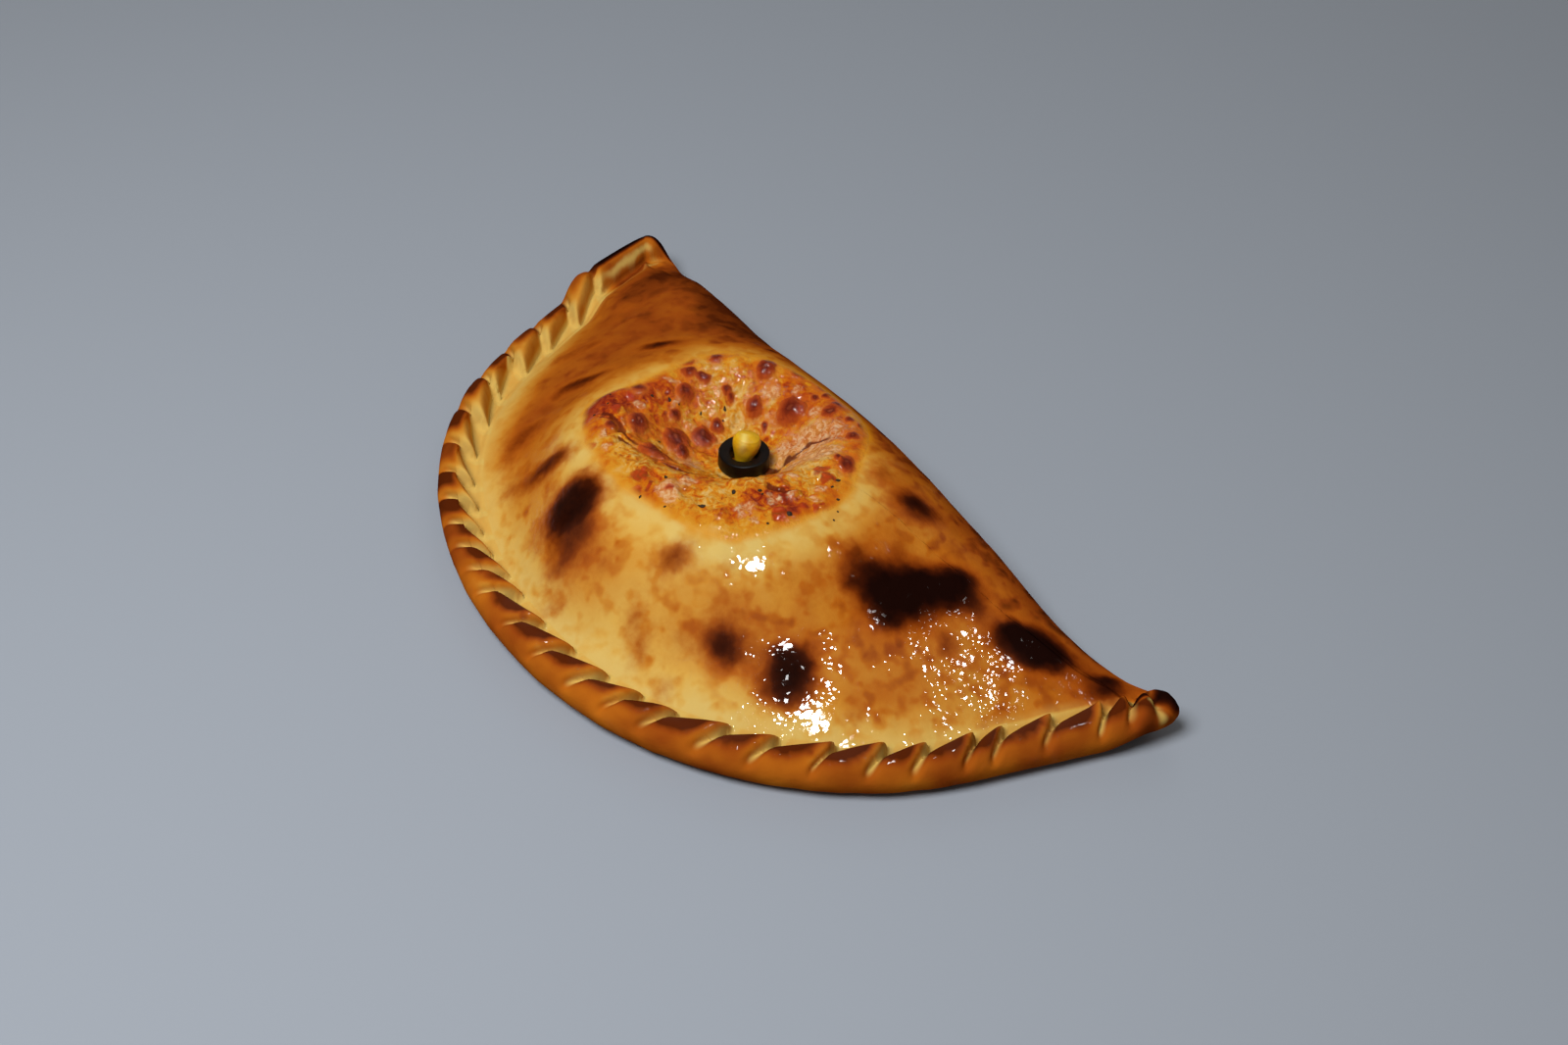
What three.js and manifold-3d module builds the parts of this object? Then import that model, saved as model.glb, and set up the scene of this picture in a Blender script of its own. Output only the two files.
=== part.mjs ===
// A calzone: a disc of dough folded over its filling. Its curved edge is rolled into a crimped rope, and a hollow
// on top holds a patch of melted cheese and tomato with one ring of black olive and one corn kernel.
// Millimetres, +Z up. X runs along the straight fold, and the crimped edge curves round the -Y side.

import * as THREE from 'three';
import { mergeVertices } from 'three/addons/utils/BufferGeometryUtils.js';
import Module from 'manifold-3d';

const { clamp, degToRad, euclideanModulo, lerp, radToDeg, smoothstep } = THREE.MathUtils;

// ---- Driving dimensions ----------------------------------------------------------------------------------------

// Plan: the arc's radius by compass angle, and how far the fold line strays from straight, by X.
const ARC_RADII = [[180, 147.6], [201, 141.7], [230, 148.1], [262, 148.9], [300, 149.4], [324, 145.7],
  [344, 141.3], [360, 147.2]];
const FOLD_LINE = [[-160, 5.0], [-140, 4.8], [-110, 1.9], [-70, -1.1], [-30, -1.7], [0, -0.8], [35, -1.5],
  [70, -2.6], [105, -3.6], [130, 0.3], [145, 4.2], [160, 4.6]];
const CORNER_LENGTH = 20; // length of edge over which each tip is rounded
const TURN_LENGTH = 90; // length of edge over which the inward direction turns at a tip
const OUTLINE_STEP = 0.5;

// The crimped rope: a bead whose centre line runs inside the edge, folded over itself in lobes.
const LOBE_LENGTHS = [16, 17, 17, 18, 18, 17, 19, 19, 16, 14, 13, 12, 12, 12, 17, 17, 17, 15, 14, 19, 17, 19,
  17, 14, 16, 9, 17, 18, 11, 9];
const BEAD_RADIUS = 7.4;
const BEAD_INSET = 7.0;
const BEAD_HEIGHT = 7.2;
const BEAD_CONTACT_INSET = 5.3; // where the bead meets the table
const GROOVE_DEPTH = 3.0;
const LOBE_SLANT = 0.7; // lobes that a groove drifts along the edge per 100 degrees over the bead
const POCKET_DEPTH = 1.6; // hollows between the pleats, in the valley inside the rope

// The tips curl up off the table.
const FIRST_TIP = { lift: 4.8, from: 36, to: 50 };
const SECOND_TIP = { lift: 3.4, from: 6, to: 24 };
const TIP_FADE = 30; // how far the curl and the rope run on along the fold side
const TIP_UNDERCUT = { inset: 16, run: 85 }; // how much further in the curled tips touch the table

// The pillow of dough inside the rope.
const VALLEY_INSET = 14.5;
const VALLEY_HEIGHT = 8.5;
const FOLD_INSET = 8; // where the fold side's wall joins the top, and where it meets the table
const PILLOW_HEIGHT = 37.5;
const PILLOW_BY_X = [[-150, 1.3], [-110, 1.0], [-70, 0.76], [-30, 0.72], [0, 0.8], [35, 0.79], [70, 0.68],
  [100, 0.54], [125, 0.35], [150, 0.3]];
const ARC_RUN = 85;
const ARC_POWER = 2.1;
const FOLD_RUN = 30;
const FOLD_POWER = 2.2;

// The hollow on top and the raised ground round it.
const MOUND = { x: -3, y: -57, height: 43, inner: 36, outer: 78 };
const HOLLOW = { x: -12.5, y: -54, long: 39.5, short: 32, turn: 53, depth: 15.5, flat: 0.22, run: 0.86 };
const PIT = new THREE.Vector2(-3.5, -53.5);

// The cheese patch: its radius about the pit by compass angle.
const PATCH_RADII = [[10, 44.7], [31, 40.3], [63, 40.5], [99, 38.3], [134, 40.4], [157, 43.2], [178, 42.8],
  [203, 45.8], [216, 54.7], [229, 53.5], [249, 49.7], [267, 47.4], [287, 46.8], [307, 48.7], [322, 50.3],
  [336, 47.7], [355, 45.7]];
const PATCH_SINK = 2.8; // depth of the bed that the patch lies in
const PATCH_PROUD = 0.5; // how far it stands above the dough
const GAP = 0.4; // between neighbouring pieces

// Swellings on the crust and the patch: [x, y, radius, height].
const CRUST_BUBBLES = [[-11, -112, 9, 1.2], [-41, -108, 6, 0.8], [70, -45, 15, 1.2], [75, -30, 9, 0.8],
  [63, -60, 7, 0.8], [51, -26, 7, 0.9], [105, -22, 12, 1.0], [73, -89, 9, 0.8], [53, -101, 7, 0.7],
  [28, -101, 4.5, 0.6], [92, -45, 5, 0.5], [-68, -45, 7, 0.7], [-74, -74, 8, 0.7], [-93, -56, 7, 0.7]];
const BLISTERS = [[-46, -47, 2.8, 0.8], [-42, -38, 2.8, 0.8], [-40, -48, 4.0, 1.1], [-29, -26, 3.0, 0.8],
  [-21, -20, 3.2, 0.8], [-43, -68, 3.2, 0.9], [-36, -55, 3.6, 1.1], [-29, -43, 2.8, 0.8], [-20, -38, 3.5, 1.1],
  [-10, -30, 5.2, 1.5], [-30, -77, 3.6, 1.0], [-22, -67, 5.4, 1.5], [-21, -56, 3.9, 1.1], [-16, -80, 3.5, 0.9],
  [26, -36, 3.8, 1.1], [-36, -80, 2.6, 0.7]];
const TOMATO_CHUNKS = [[-5.5, -93, 4.0, 1.4], [36, -67, 3.8, 1.7], [35.5, -60, 2.8, 1.1], [25.6, -44, 3.3, 1.2]];
const CHEESE_MOUNDS = [[8, -90, 4.4, 1.0], [28, -75, 5.6, 1.4], [-28, -92, 4.4, 0.9], [-15.5, -34, 6.5, 0.9],
  [34, -48, 3.6, 0.8], [-9, -23, 4.5, 0.7]];

// Flakes of dried herb on the patch: [x, y, length, turn in degrees].
const HERB_FLAKES = [[-38.3, -66.3, 2.2, 20], [-35.7, -61.5, 1.8, 100], [-25.9, -46.1, 2.4, 50],
  [-28.3, -53.5, 1.8, 140], [18.4, -85.3, 3.0, 70], [23.4, -66.9, 2.2, 10], [12, -94.8, 2.0, 120],
  [32.3, -43, 2.4, 30], [3.9, -98.5, 2.0, 80], [-39, -52.6, 1.8, 0], [-31.9, -87.4, 2.0, 60],
  [37.5, -57, 2.2, 150]];

// The olive ring and the corn kernel that stands in it.
const OLIVE = { x: -4.3, y: -53.2, radius: 8.5, hole: 4.7, height: 5.6, round: 1.1, seat: 10 };
const KERNEL = { height: 12.2, width: 8.9, thickness: 7.4, lean: 8, leanTowards: 52, shift: -0.4 };

// How finely each surface is divided.
const COLUMNS_PER_LOBE = 4;
const FOLD_COLUMNS = 60;
const RING_SIDES = 30;
const KERNEL_SIDES = 18;

// ---- Curves ----------------------------------------------------------------------------------------------------

// A smooth curve through [place, value] knots.
function through(knots, place) {
  const last = knots.length - 1;
  const at = clamp(place, knots[0][0], knots[last][0]);
  let i = 0;
  while (i < last - 1 && at > knots[i + 1][0]) i += 1;
  const run = knots[i + 1][0] - knots[i][0];
  const t = (at - knots[i][0]) / run;
  const [a, b] = [knots[i][1], knots[i + 1][1]];
  const leaving = run * slopeAt(knots, i);
  const arriving = run * slopeAt(knots, i + 1);
  return a + t * (leaving + t * (3 * (b - a) - 2 * leaving - arriving + t * (2 * (a - b) + leaving + arriving)));
}

function slopeAt(knots, i) {
  const slope = (j) => (knots[j + 1][1] - knots[j][1]) / (knots[j + 1][0] - knots[j][0]);
  if (i === 0) return slope(0);
  if (i === knots.length - 1) return slope(i - 1);
  const before = knots[i][0] - knots[i - 1][0];
  const after = knots[i + 1][0] - knots[i][0];
  return (slope(i - 1) * after + slope(i) * before) / (before + after);
}

// The same for a value that runs on round the compass.
function roundCompass(knots, degrees) {
  const turned = euclideanModulo(degrees, 360);
  const before = knots.slice(-2).map(([place, value]) => [place - 360, value]);
  const after = knots.slice(0, 2).map(([place, value]) => [place + 360, value]);
  return through([...before, ...knots, ...after], turned);
}

// 1 at the middle of a swelling, level there and at its rim.
function bump(distance, radius) {
  return distance < radius ? (1 - (distance / radius) ** 2) ** 2 : 0;
}

function swellings(list, x, y) {
  return list.reduce((sum, [cx, cy, radius, height]) => sum + height * bump(Math.hypot(x - cx, y - cy), radius), 0);
}

// ---- Outline of the whole calzone ------------------------------------------------------------------------------

function drawnOutline() {
  const points = [];
  for (let degrees = 180; degrees <= 360; degrees += 0.1) {
    const radius = through(ARC_RADII, degrees);
    const angle = degToRad(degrees);
    points.push(new THREE.Vector2(radius * Math.cos(angle), radius * Math.sin(angle)));
  }
  const left = points[0].x;
  for (let x = points.at(-1).x; x > left; x -= OUTLINE_STEP) points.push(new THREE.Vector2(x, through(FOLD_LINE, x)));
  return points;
}

function evenlySpaced(points) {
  const spaced = [];
  const lengths = points.map((point, i) => point.distanceTo(points[(i + 1) % points.length]));
  const total = lengths.reduce((sum, length) => sum + length, 0);
  const count = Math.round(total / OUTLINE_STEP);
  let passed = 0;
  let i = 0;
  for (let k = 0; k < count; k += 1) {
    const wanted = (k * total) / count;
    while (passed + lengths[i] < wanted) passed += lengths[i++];
    spaced.push(points[i].clone().lerp(points[(i + 1) % points.length], (wanted - passed) / lengths[i]));
  }
  return spaced;
}

// Moving average over a length of a closed list, with a Hann window.
function averaged(vectors, length) {
  const half = Math.floor(length / 2 / OUTLINE_STEP);
  const weights = Array.from({ length: 2 * half + 1 }, (_, j) => 1 - Math.cos((Math.PI * (j + 1)) / (half + 1)));
  const total = weights.reduce((sum, weight) => sum + weight, 0);
  return vectors.map((_, i) => {
    const mean = new THREE.Vector2();
    weights.forEach((weight, j) => {
      mean.addScaledVector(vectors[euclideanModulo(i + j - half, vectors.length)], weight / total);
    });
    return mean;
  });
}

const EDGE = evenlySpaced(averaged(evenlySpaced(drawnOutline()), CORNER_LENGTH));
const PERIMETER = EDGE.length * OUTLINE_STEP;
const OUTWARD = averaged(EDGE.map((_, i) => {
  const along = EDGE[(i + 1) % EDGE.length].clone().sub(EDGE.at(i - 1)).normalize();
  return new THREE.Vector2(along.y, -along.x);
}), TURN_LENGTH).map((direction) => direction.normalize());

// A station is a distance along the edge from the first tip, round the arc and back along the fold.
const SECOND_TIP_STATION = OUTLINE_STEP * EDGE.reduce((best, point, i) => (point.x > EDGE[best].x ? i : best), 0);

function inFromEdge(station, inset) {
  const place = euclideanModulo(station / OUTLINE_STEP, EDGE.length);
  const i = Math.floor(place);
  const next = (i + 1) % EDGE.length;
  const point = EDGE[i].clone().lerp(EDGE[next], place - i);
  return point.addScaledVector(OUTWARD[i].clone().lerp(OUTWARD[next], place - i), -inset);
}

// How far a station lies past either tip on the fold side; 0 on the arc.
function pastTip(station) {
  return station <= SECOND_TIP_STATION ? 0 : Math.min(station - SECOND_TIP_STATION, PERIMETER - station);
}

function ropeShare(station) {
  return 1 - smoothstep(pastTip(station), 4, 18);
}

function tipLift(station) {
  const { lift: first, from, to } = FIRST_TIP;
  const fade = 1 - smoothstep(pastTip(station), 0, TIP_FADE);
  const onFold = station > SECOND_TIP_STATION;
  const nearFirst = onFold && PERIMETER - station < station - SECOND_TIP_STATION;
  if (nearFirst) return first * fade;
  if (onFold) return SECOND_TIP.lift * fade;
  const toSecond = SECOND_TIP_STATION - station;
  return first * (1 - smoothstep(station, from, to))
    + SECOND_TIP.lift * (1 - smoothstep(toSecond, SECOND_TIP.from, SECOND_TIP.to));
}

// ---- Crimped rope ----------------------------------------------------------------------------------------------

const LOBE_SCALE = SECOND_TIP_STATION / LOBE_LENGTHS.reduce((sum, length) => sum + length, 0);

function lobeStarts() {
  let start = 0;
  return [...LOBE_LENGTHS, 0].map((length) => {
    const here = start;
    start += length * LOBE_SCALE;
    return here;
  });
}
const LOBE_STARTS = lobeStarts();

// Lobe number with its fraction; a groove lies at each whole number.
function lobeAt(station) {
  const along = station > SECOND_TIP_STATION + TIP_FADE ? station - PERIMETER : station;
  const last = LOBE_LENGTHS.length - 1;
  let i = 0;
  while (i < last && along >= LOBE_STARTS[i + 1]) i += 1;
  return i + (along - LOBE_STARTS[i]) / (LOBE_LENGTHS[i] * LOBE_SCALE);
}

// Height of a lobe over its groove, 0 to 1, by the lobe number's fraction.
function lobeCrest(phase) {
  return Math.sin(Math.PI * euclideanModulo(phase, 1) ** 0.8) ** 0.6;
}

// The bead's radius where a ray at an angle over its centre line leaves it: 0 is outward, 90 is up.
function beadRadius(station, degrees) {
  const phase = lobeAt(station) - (LOBE_SLANT * (degrees - 80)) / 100;
  const grooved = smoothstep(degrees, -30, 60) * (1 - smoothstep(degrees, 130, 190));
  const plump = 0.4 * Math.sin(Math.floor(phase) * 2.4);
  return BEAD_RADIUS + (plump - GROOVE_DEPTH * (1 - lobeCrest(phase))) * grooved;
}

// ---- Pillow, hollow and patch ----------------------------------------------------------------------------------

function arcDistance(x, y) {
  const compass = euclideanModulo(radToDeg(Math.atan2(y, x)), 360);
  const onArc = compass < 90 ? 360 : Math.max(compass, 180);
  return through(ARC_RADII, onArc) - Math.hypot(x, y);
}

function pillowHeight(x, y) {
  const fromArc = clamp((arcDistance(x, y) - VALLEY_INSET) / ARC_RUN, 0, 1);
  const fromFold = clamp((through(FOLD_LINE, x) - y) / FOLD_RUN, 0, 1);
  const side = (1 - (1 - fromFold) ** FOLD_POWER) ** (1 / FOLD_POWER);
  const pillow = PILLOW_HEIGHT * through(PILLOW_BY_X, x) * (1 - (1 - fromArc) ** ARC_POWER);
  const mound = 1 - smoothstep(Math.hypot(x - MOUND.x, y - MOUND.y), MOUND.inner, MOUND.outer);
  return VALLEY_HEIGHT + lerp(pillow, MOUND.height - VALLEY_HEIGHT, mound) * side;
}

// 0 at the pit and 1 on the hollow's lip, by ellipses that shrink towards the pit.
function hollowShare(x, y) {
  const turn = degToRad(HOLLOW.turn);
  const squared = (px, py) => new THREE.Vector2(px - PIT.x, py - PIT.y).rotateAround(new THREE.Vector2(), -turn)
    .divide(new THREE.Vector2(HOLLOW.long, HOLLOW.short));
  const point = squared(x, y);
  const centre = squared(HOLLOW.x, HOLLOW.y);
  const a = centre.lengthSq() - 1;
  const b = -2 * point.dot(centre);
  return (-b - Math.sqrt(b * b - 4 * a * point.lengthSq())) / (2 * a);
}

// The top as it shows, without the patch's bed.
function topHeight(x, y) {
  const fall = HOLLOW.depth * (1 - smoothstep(hollowShare(x, y), HOLLOW.flat, HOLLOW.flat + HOLLOW.run));
  return pillowHeight(x, y) - fall + swellings(CRUST_BUBBLES, x, y);
}

const SEAT_HEIGHT = topHeight(OLIVE.x, OLIVE.y) + PATCH_PROUD;

function patchTop(x, y) {
  const relief = swellings([...BLISTERS, ...TOMATO_CHUNKS, ...CHEESE_MOUNDS], x, y);
  const off = smoothstep(Math.hypot(x - OLIVE.x, y - OLIVE.y), OLIVE.seat - 0.5, OLIVE.seat + 3);
  return lerp(SEAT_HEIGHT, topHeight(x, y) + PATCH_PROUD + relief, off);
}

// ---- Meshes from rings of points -------------------------------------------------------------------------------

class Skin {
  constructor() {
    this.positions = [];
    this.faces = [];
  }

  ring(points) {
    const first = this.positions.length / 3;
    points.forEach((point) => this.positions.push(point.x, point.y, point.z));
    return points.map((_, i) => first + i);
  }

  face(a, b, c, flipped) {
    this.faces.push(...(flipped ? [a, c, b] : [a, b, c]));
  }

  // Joins two rings that run the same way; the second may have half as many points.
  join(from, to, flipped = false) {
    const halved = from.length === 2 * to.length;
    to.forEach((p, j) => {
      const q = to[(j + 1) % to.length];
      if (halved) {
        const [a, b, c] = [from[2 * j], from[2 * j + 1], from[(2 * j + 2) % from.length]];
        this.face(a, b, p, flipped);
        this.face(b, c, q, flipped);
        this.face(b, q, p, flipped);
      } else {
        const [a, b] = [from[j], from[(j + 1) % from.length]];
        this.face(a, b, q, flipped);
        this.face(a, q, p, flipped);
      }
    });
  }

  fan(ring, tip, flipped = false) {
    const [middle] = this.ring([tip]);
    ring.forEach((a, i) => this.face(a, ring[(i + 1) % ring.length], middle, flipped));
  }

  geometry() {
    const geometry = new THREE.BufferGeometry();
    geometry.setAttribute('position', new THREE.Float32BufferAttribute(this.positions, 3));
    geometry.setIndex(this.faces);
    geometry.computeVertexNormals();
    return geometry;
  }
}

// ---- Dough -----------------------------------------------------------------------------------------------------

// Rows over the rim, from the table up and in: an angle over the bead, and on the fold side either an angle under
// the wall, 90 at the table and 0 at its widest, or an inset on top.
const RIM_ROWS = [
  { bead: -42, under: 50 },
  { bead: -8, under: 18 },
  { bead: 26, inset: 0.2 },
  { bead: 56, inset: 1.2 },
  { bead: 86, inset: 2.8 },
  { bead: 118, inset: 5 },
  { bead: 155, inset: 6.8 },
];
// Shares of the way from the valley to the patch, and of the patch's radius from its outline to the pit.
const PILLOW_ROWS = [0, 0.12, 0.32, 0.56, 0.8];
const BED_ROWS = [1, 0.96, 0.88, 0.74, 0.58, 0.42, 0.26, 0.12];
const PATCH_ROWS = [0.95, 0.87, 0.78, 0.68, 0.58, 0.48, 0.38, 0.28, 0.18, 0.09];
const BED_SLOPE = 0.1; // share of the patch's radius over which its bed sinks

function columnStations() {
  const stations = [];
  LOBE_LENGTHS.forEach((length, i) => {
    for (let k = 0; k < COLUMNS_PER_LOBE; k += 1) {
      stations.push(LOBE_STARTS[i] + (length * LOBE_SCALE * k) / COLUMNS_PER_LOBE);
    }
  });
  for (let k = 0; k < FOLD_COLUMNS; k += 1) {
    stations.push(lerp(SECOND_TIP_STATION, PERIMETER, k / FOLD_COLUMNS));
  }
  return stations;
}

function contactPoint(station) {
  const toTip = Math.min(station, Math.abs(station - SECOND_TIP_STATION), PERIMETER - station);
  const undercut = TIP_UNDERCUT.inset * (1 - smoothstep(toTip, 0, TIP_UNDERCUT.run));
  const inset = lerp(FOLD_INSET, BEAD_CONTACT_INSET, ropeShare(station)) + undercut;
  const point = inFromEdge(station, inset);
  return new THREE.Vector3(point.x, point.y, 0);
}

function foldWallPoint(station, row) {
  if (row.inset !== undefined) {
    const point = inFromEdge(station, row.inset);
    return new THREE.Vector3(point.x, point.y, topHeight(point.x, point.y));
  }
  const angle = degToRad(row.under);
  const point = inFromEdge(station, FOLD_INSET * (1 - Math.cos(angle) ** (2 / FOLD_POWER)));
  return new THREE.Vector3(point.x, point.y, VALLEY_HEIGHT * (1 - Math.sin(angle) ** (2 / FOLD_POWER)));
}

function ropePoint(station, row) {
  const radius = beadRadius(station, row.bead);
  const angle = degToRad(row.bead);
  const point = inFromEdge(station, BEAD_INSET - radius * Math.cos(angle));
  return new THREE.Vector3(point.x, point.y, BEAD_HEIGHT + radius * Math.sin(angle));
}

function rimPoint(station, row) {
  const point = foldWallPoint(station, row).lerp(ropePoint(station, row), ropeShare(station));
  point.z += tipLift(station);
  return point;
}

// Pockets and pleats that run from the rope's grooves up the pillow.
function pleatHeight(station, share) {
  const phase = lobeAt(station) - LOBE_SLANT * 0.9;
  const fade = 1 - smoothstep(share, 0, 0.2);
  return -POCKET_DEPTH * lobeCrest(phase) * fade * ropeShare(station);
}

function valleyPoint(station) {
  return inFromEdge(station, lerp(FOLD_INSET, VALLEY_INSET, ropeShare(station)));
}

function patchPoint(compass, share) {
  const reach = share * roundCompass(PATCH_RADII, radToDeg(compass));
  return new THREE.Vector2(PIT.x + reach * Math.cos(compass), PIT.y + reach * Math.sin(compass));
}

function bedHeight(x, y, share) {
  return topHeight(x, y) - PATCH_SINK * smoothstep(1 - share, 0, BED_SLOPE);
}

const STATIONS = columnStations();
const SPOKES = STATIONS.filter((_, i) => i % 2 === 0);
const COMPASSES = SPOKES.map((station) => valleyPoint(station).sub(PIT).angle());

function pillowPoint(spoke, share) {
  const station = SPOKES[spoke];
  const point = valleyPoint(station).lerp(patchPoint(COMPASSES[spoke], 1), share);
  const lift = tipLift(station) * (1 - smoothstep(share, 0, 0.35));
  return new THREE.Vector3(point.x, point.y, topHeight(point.x, point.y) + lift + pleatHeight(station, share));
}

function patchRing(share, height) {
  return COMPASSES.map((compass) => {
    const point = patchPoint(compass, share);
    return new THREE.Vector3(point.x, point.y, height(point.x, point.y, share));
  });
}

function doughGeometry() {
  const skin = new Skin();
  let outer = skin.ring(STATIONS.map(contactPoint));
  skin.fan(outer, new THREE.Vector3(MOUND.x, MOUND.y, 0), true);
  const layers = [
    ...RIM_ROWS.map((row) => STATIONS.map((station) => rimPoint(station, row))),
    ...PILLOW_ROWS.map((share) => SPOKES.map((_, spoke) => pillowPoint(spoke, share))),
    ...BED_ROWS.map((share) => patchRing(share, bedHeight)),
  ];
  layers.forEach((layer) => {
    const inner = skin.ring(layer);
    skin.join(outer, inner);
    outer = inner;
  });
  skin.fan(outer, new THREE.Vector3(PIT.x, PIT.y, bedHeight(PIT.x, PIT.y, 0)));
  return skin.geometry();
}

// ---- Cheese patch with its herb flakes -------------------------------------------------------------------------

function patchGeometry() {
  const skin = new Skin();
  const onBed = (x, y, share) => bedHeight(x, y, share) + GAP;
  const rim = skin.ring(patchRing(1, onBed));
  let below = rim;
  BED_ROWS.slice(1).forEach((share) => {
    const inner = skin.ring(patchRing(share, onBed));
    skin.join(below, inner, true);
    below = inner;
  });
  skin.fan(below, new THREE.Vector3(PIT.x, PIT.y, onBed(PIT.x, PIT.y, 0)), true);
  let above = rim;
  PATCH_ROWS.forEach((share) => {
    const inner = skin.ring(patchRing(share, patchTop));
    skin.join(above, inner);
    above = inner;
  });
  skin.fan(above, new THREE.Vector3(PIT.x, PIT.y, patchTop(PIT.x, PIT.y)));
  return skin.geometry();
}

function flakeGeometry([x, y, length, turn]) {
  const flake = new THREE.IcosahedronGeometry(1, 0);
  flake.scale(length / 2, length / 3, 0.7);
  flake.rotateZ(degToRad(turn));
  flake.translate(x, y, patchTop(x, y) + 0.1);
  return flake;
}

const wasm = await Module();
wasm.setup();

function solidOf(geometry) {
  const bare = geometry.clone();
  bare.deleteAttribute('normal');
  bare.deleteAttribute('uv');
  const merged = mergeVertices(bare);
  return new wasm.Manifold(new wasm.Mesh({
    numProp: 3,
    vertProperties: new Float32Array(merged.attributes.position.array),
    triVerts: new Uint32Array(merged.index.array),
  }));
}

function toppingGeometry() {
  const fused = HERB_FLAKES.reduce((whole, flake) => whole.add(solidOf(flakeGeometry(flake))), solidOf(patchGeometry()));
  const { vertProperties, triVerts } = fused.getMesh();
  const geometry = new THREE.BufferGeometry();
  geometry.setAttribute('position', new THREE.BufferAttribute(vertProperties, 3));
  geometry.setIndex(new THREE.BufferAttribute(triVerts, 1));
  geometry.computeVertexNormals();
  return geometry;
}

// ---- Olive ring and corn kernel --------------------------------------------------------------------------------

function oliveGeometry() {
  const { radius, hole, height, round } = OLIVE;
  const profile = [[hole + round, 0], [radius - round, 0], [radius - 0.3, round * 0.7], [radius, height / 2],
    [radius - 0.3, height - round * 0.7], [radius - round, height], [hole + round, height],
    [hole + 0.3, height - round], [hole, height / 2], [hole + 0.3, round], [hole + round, 0]];
  const ring = new THREE.LatheGeometry(profile.map(([r, z]) => new THREE.Vector2(r, z)), RING_SIDES);
  return ring.rotateX(Math.PI / 2);
}

function kernelGeometry() {
  const { height, width, thickness } = KERNEL;
  const profile = [[0, 0], [0.42, 0.02], [0.58, 0.12], [0.72, 0.3], [0.88, 0.48], [0.98, 0.64], [1, 0.76],
    [0.9, 0.88], [0.6, 0.97], [0, 1]];
  const points = profile.map(([r, z]) => new THREE.Vector2((r * width) / 2, z * height));
  const kernel = new THREE.LatheGeometry(points, KERNEL_SIDES);
  return kernel.rotateX(Math.PI / 2).scale(1, thickness / width, 1);
}

// ---- The calzone -----------------------------------------------------------------------------------------------

function named(name, geometry, color, roughness) {
  const mesh = new THREE.Mesh(geometry, new THREE.MeshStandardMaterial({ color, roughness, metalness: 0 }));
  mesh.name = name;
  return mesh;
}

function olive() {
  const mesh = named('olive_ring', oliveGeometry(), 0x1c1614, 0.45);
  mesh.position.set(OLIVE.x, OLIVE.y, SEAT_HEIGHT + GAP);
  return mesh;
}

function kernel() {
  const mesh = named('corn_kernel', kernelGeometry(), 0xdcae22, 0.35);
  const towards = degToRad(KERNEL.leanTowards);
  const axis = new THREE.Vector3(-Math.sin(towards), Math.cos(towards), 0);
  mesh.quaternion.setFromAxisAngle(axis, degToRad(KERNEL.lean))
    .multiply(new THREE.Quaternion().setFromAxisAngle(new THREE.Vector3(0, 0, 1), towards));
  const x = OLIVE.x + KERNEL.shift * Math.cos(towards);
  const y = OLIVE.y + KERNEL.shift * Math.sin(towards);
  mesh.position.set(x, y, SEAT_HEIGHT + 2 * GAP);
  return mesh;
}

function calzone() {
  const group = new THREE.Group();
  group.add(named('dough', doughGeometry(), 0xb98336, 0.55));
  group.add(named('cheese_topping', toppingGeometry(), 0xc4742c, 0.4));
  group.add(olive());
  group.add(kernel());
  return group;
}

// The origin is the middle of the box that holds the calzone, on the table.
const model = calzone();
const middle = new THREE.Box3().setFromObject(model, true).getCenter(new THREE.Vector3());
model.position.set(-middle.x, -middle.y, 0);

export default model;
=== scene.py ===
"""A calzone: folded dough with a crimped rope edge, scorched crust, and a hollow of melted cheese and
tomato on top with an olive ring and a corn kernel. Shapes are in millimetres and turned to metres last."""

import math

import bpy
import numpy as np
from mathutils import Matrix, Vector


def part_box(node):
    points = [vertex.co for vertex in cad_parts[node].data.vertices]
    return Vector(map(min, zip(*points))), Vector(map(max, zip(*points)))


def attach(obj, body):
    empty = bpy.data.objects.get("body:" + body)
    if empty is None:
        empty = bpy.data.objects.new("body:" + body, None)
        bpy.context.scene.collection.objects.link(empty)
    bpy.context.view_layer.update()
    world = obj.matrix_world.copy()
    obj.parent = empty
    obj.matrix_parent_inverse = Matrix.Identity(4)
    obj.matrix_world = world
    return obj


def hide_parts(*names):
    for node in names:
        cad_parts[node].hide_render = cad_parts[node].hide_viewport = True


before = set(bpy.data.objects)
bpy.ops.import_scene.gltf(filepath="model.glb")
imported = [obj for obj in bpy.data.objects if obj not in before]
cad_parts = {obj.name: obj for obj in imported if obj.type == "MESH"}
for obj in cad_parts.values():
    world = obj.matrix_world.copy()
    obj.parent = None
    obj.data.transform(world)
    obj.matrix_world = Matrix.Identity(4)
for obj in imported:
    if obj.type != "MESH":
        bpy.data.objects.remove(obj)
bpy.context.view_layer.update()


MM = 0.001

# ---- Sizes of the calzone ----

# Plan: the arc's radius by compass angle, and how far the fold line strays from straight, by X.
ARC_RADII = [(180, 147.6), (201, 141.7), (230, 148.1), (262, 148.9), (300, 149.4), (324, 145.7),
             (344, 141.3), (360, 147.2)]
FOLD_LINE = [(-160, 5.0), (-140, 4.8), (-110, 1.9), (-70, -1.1), (-30, -1.7), (0, -0.8), (35, -1.5),
             (70, -2.6), (105, -3.6), (130, 0.3), (145, 4.2), (160, 4.6)]
CORNER_LENGTH = 20.0
TURN_LENGTH = 90.0
OUTLINE_STEP = 0.5

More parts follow.
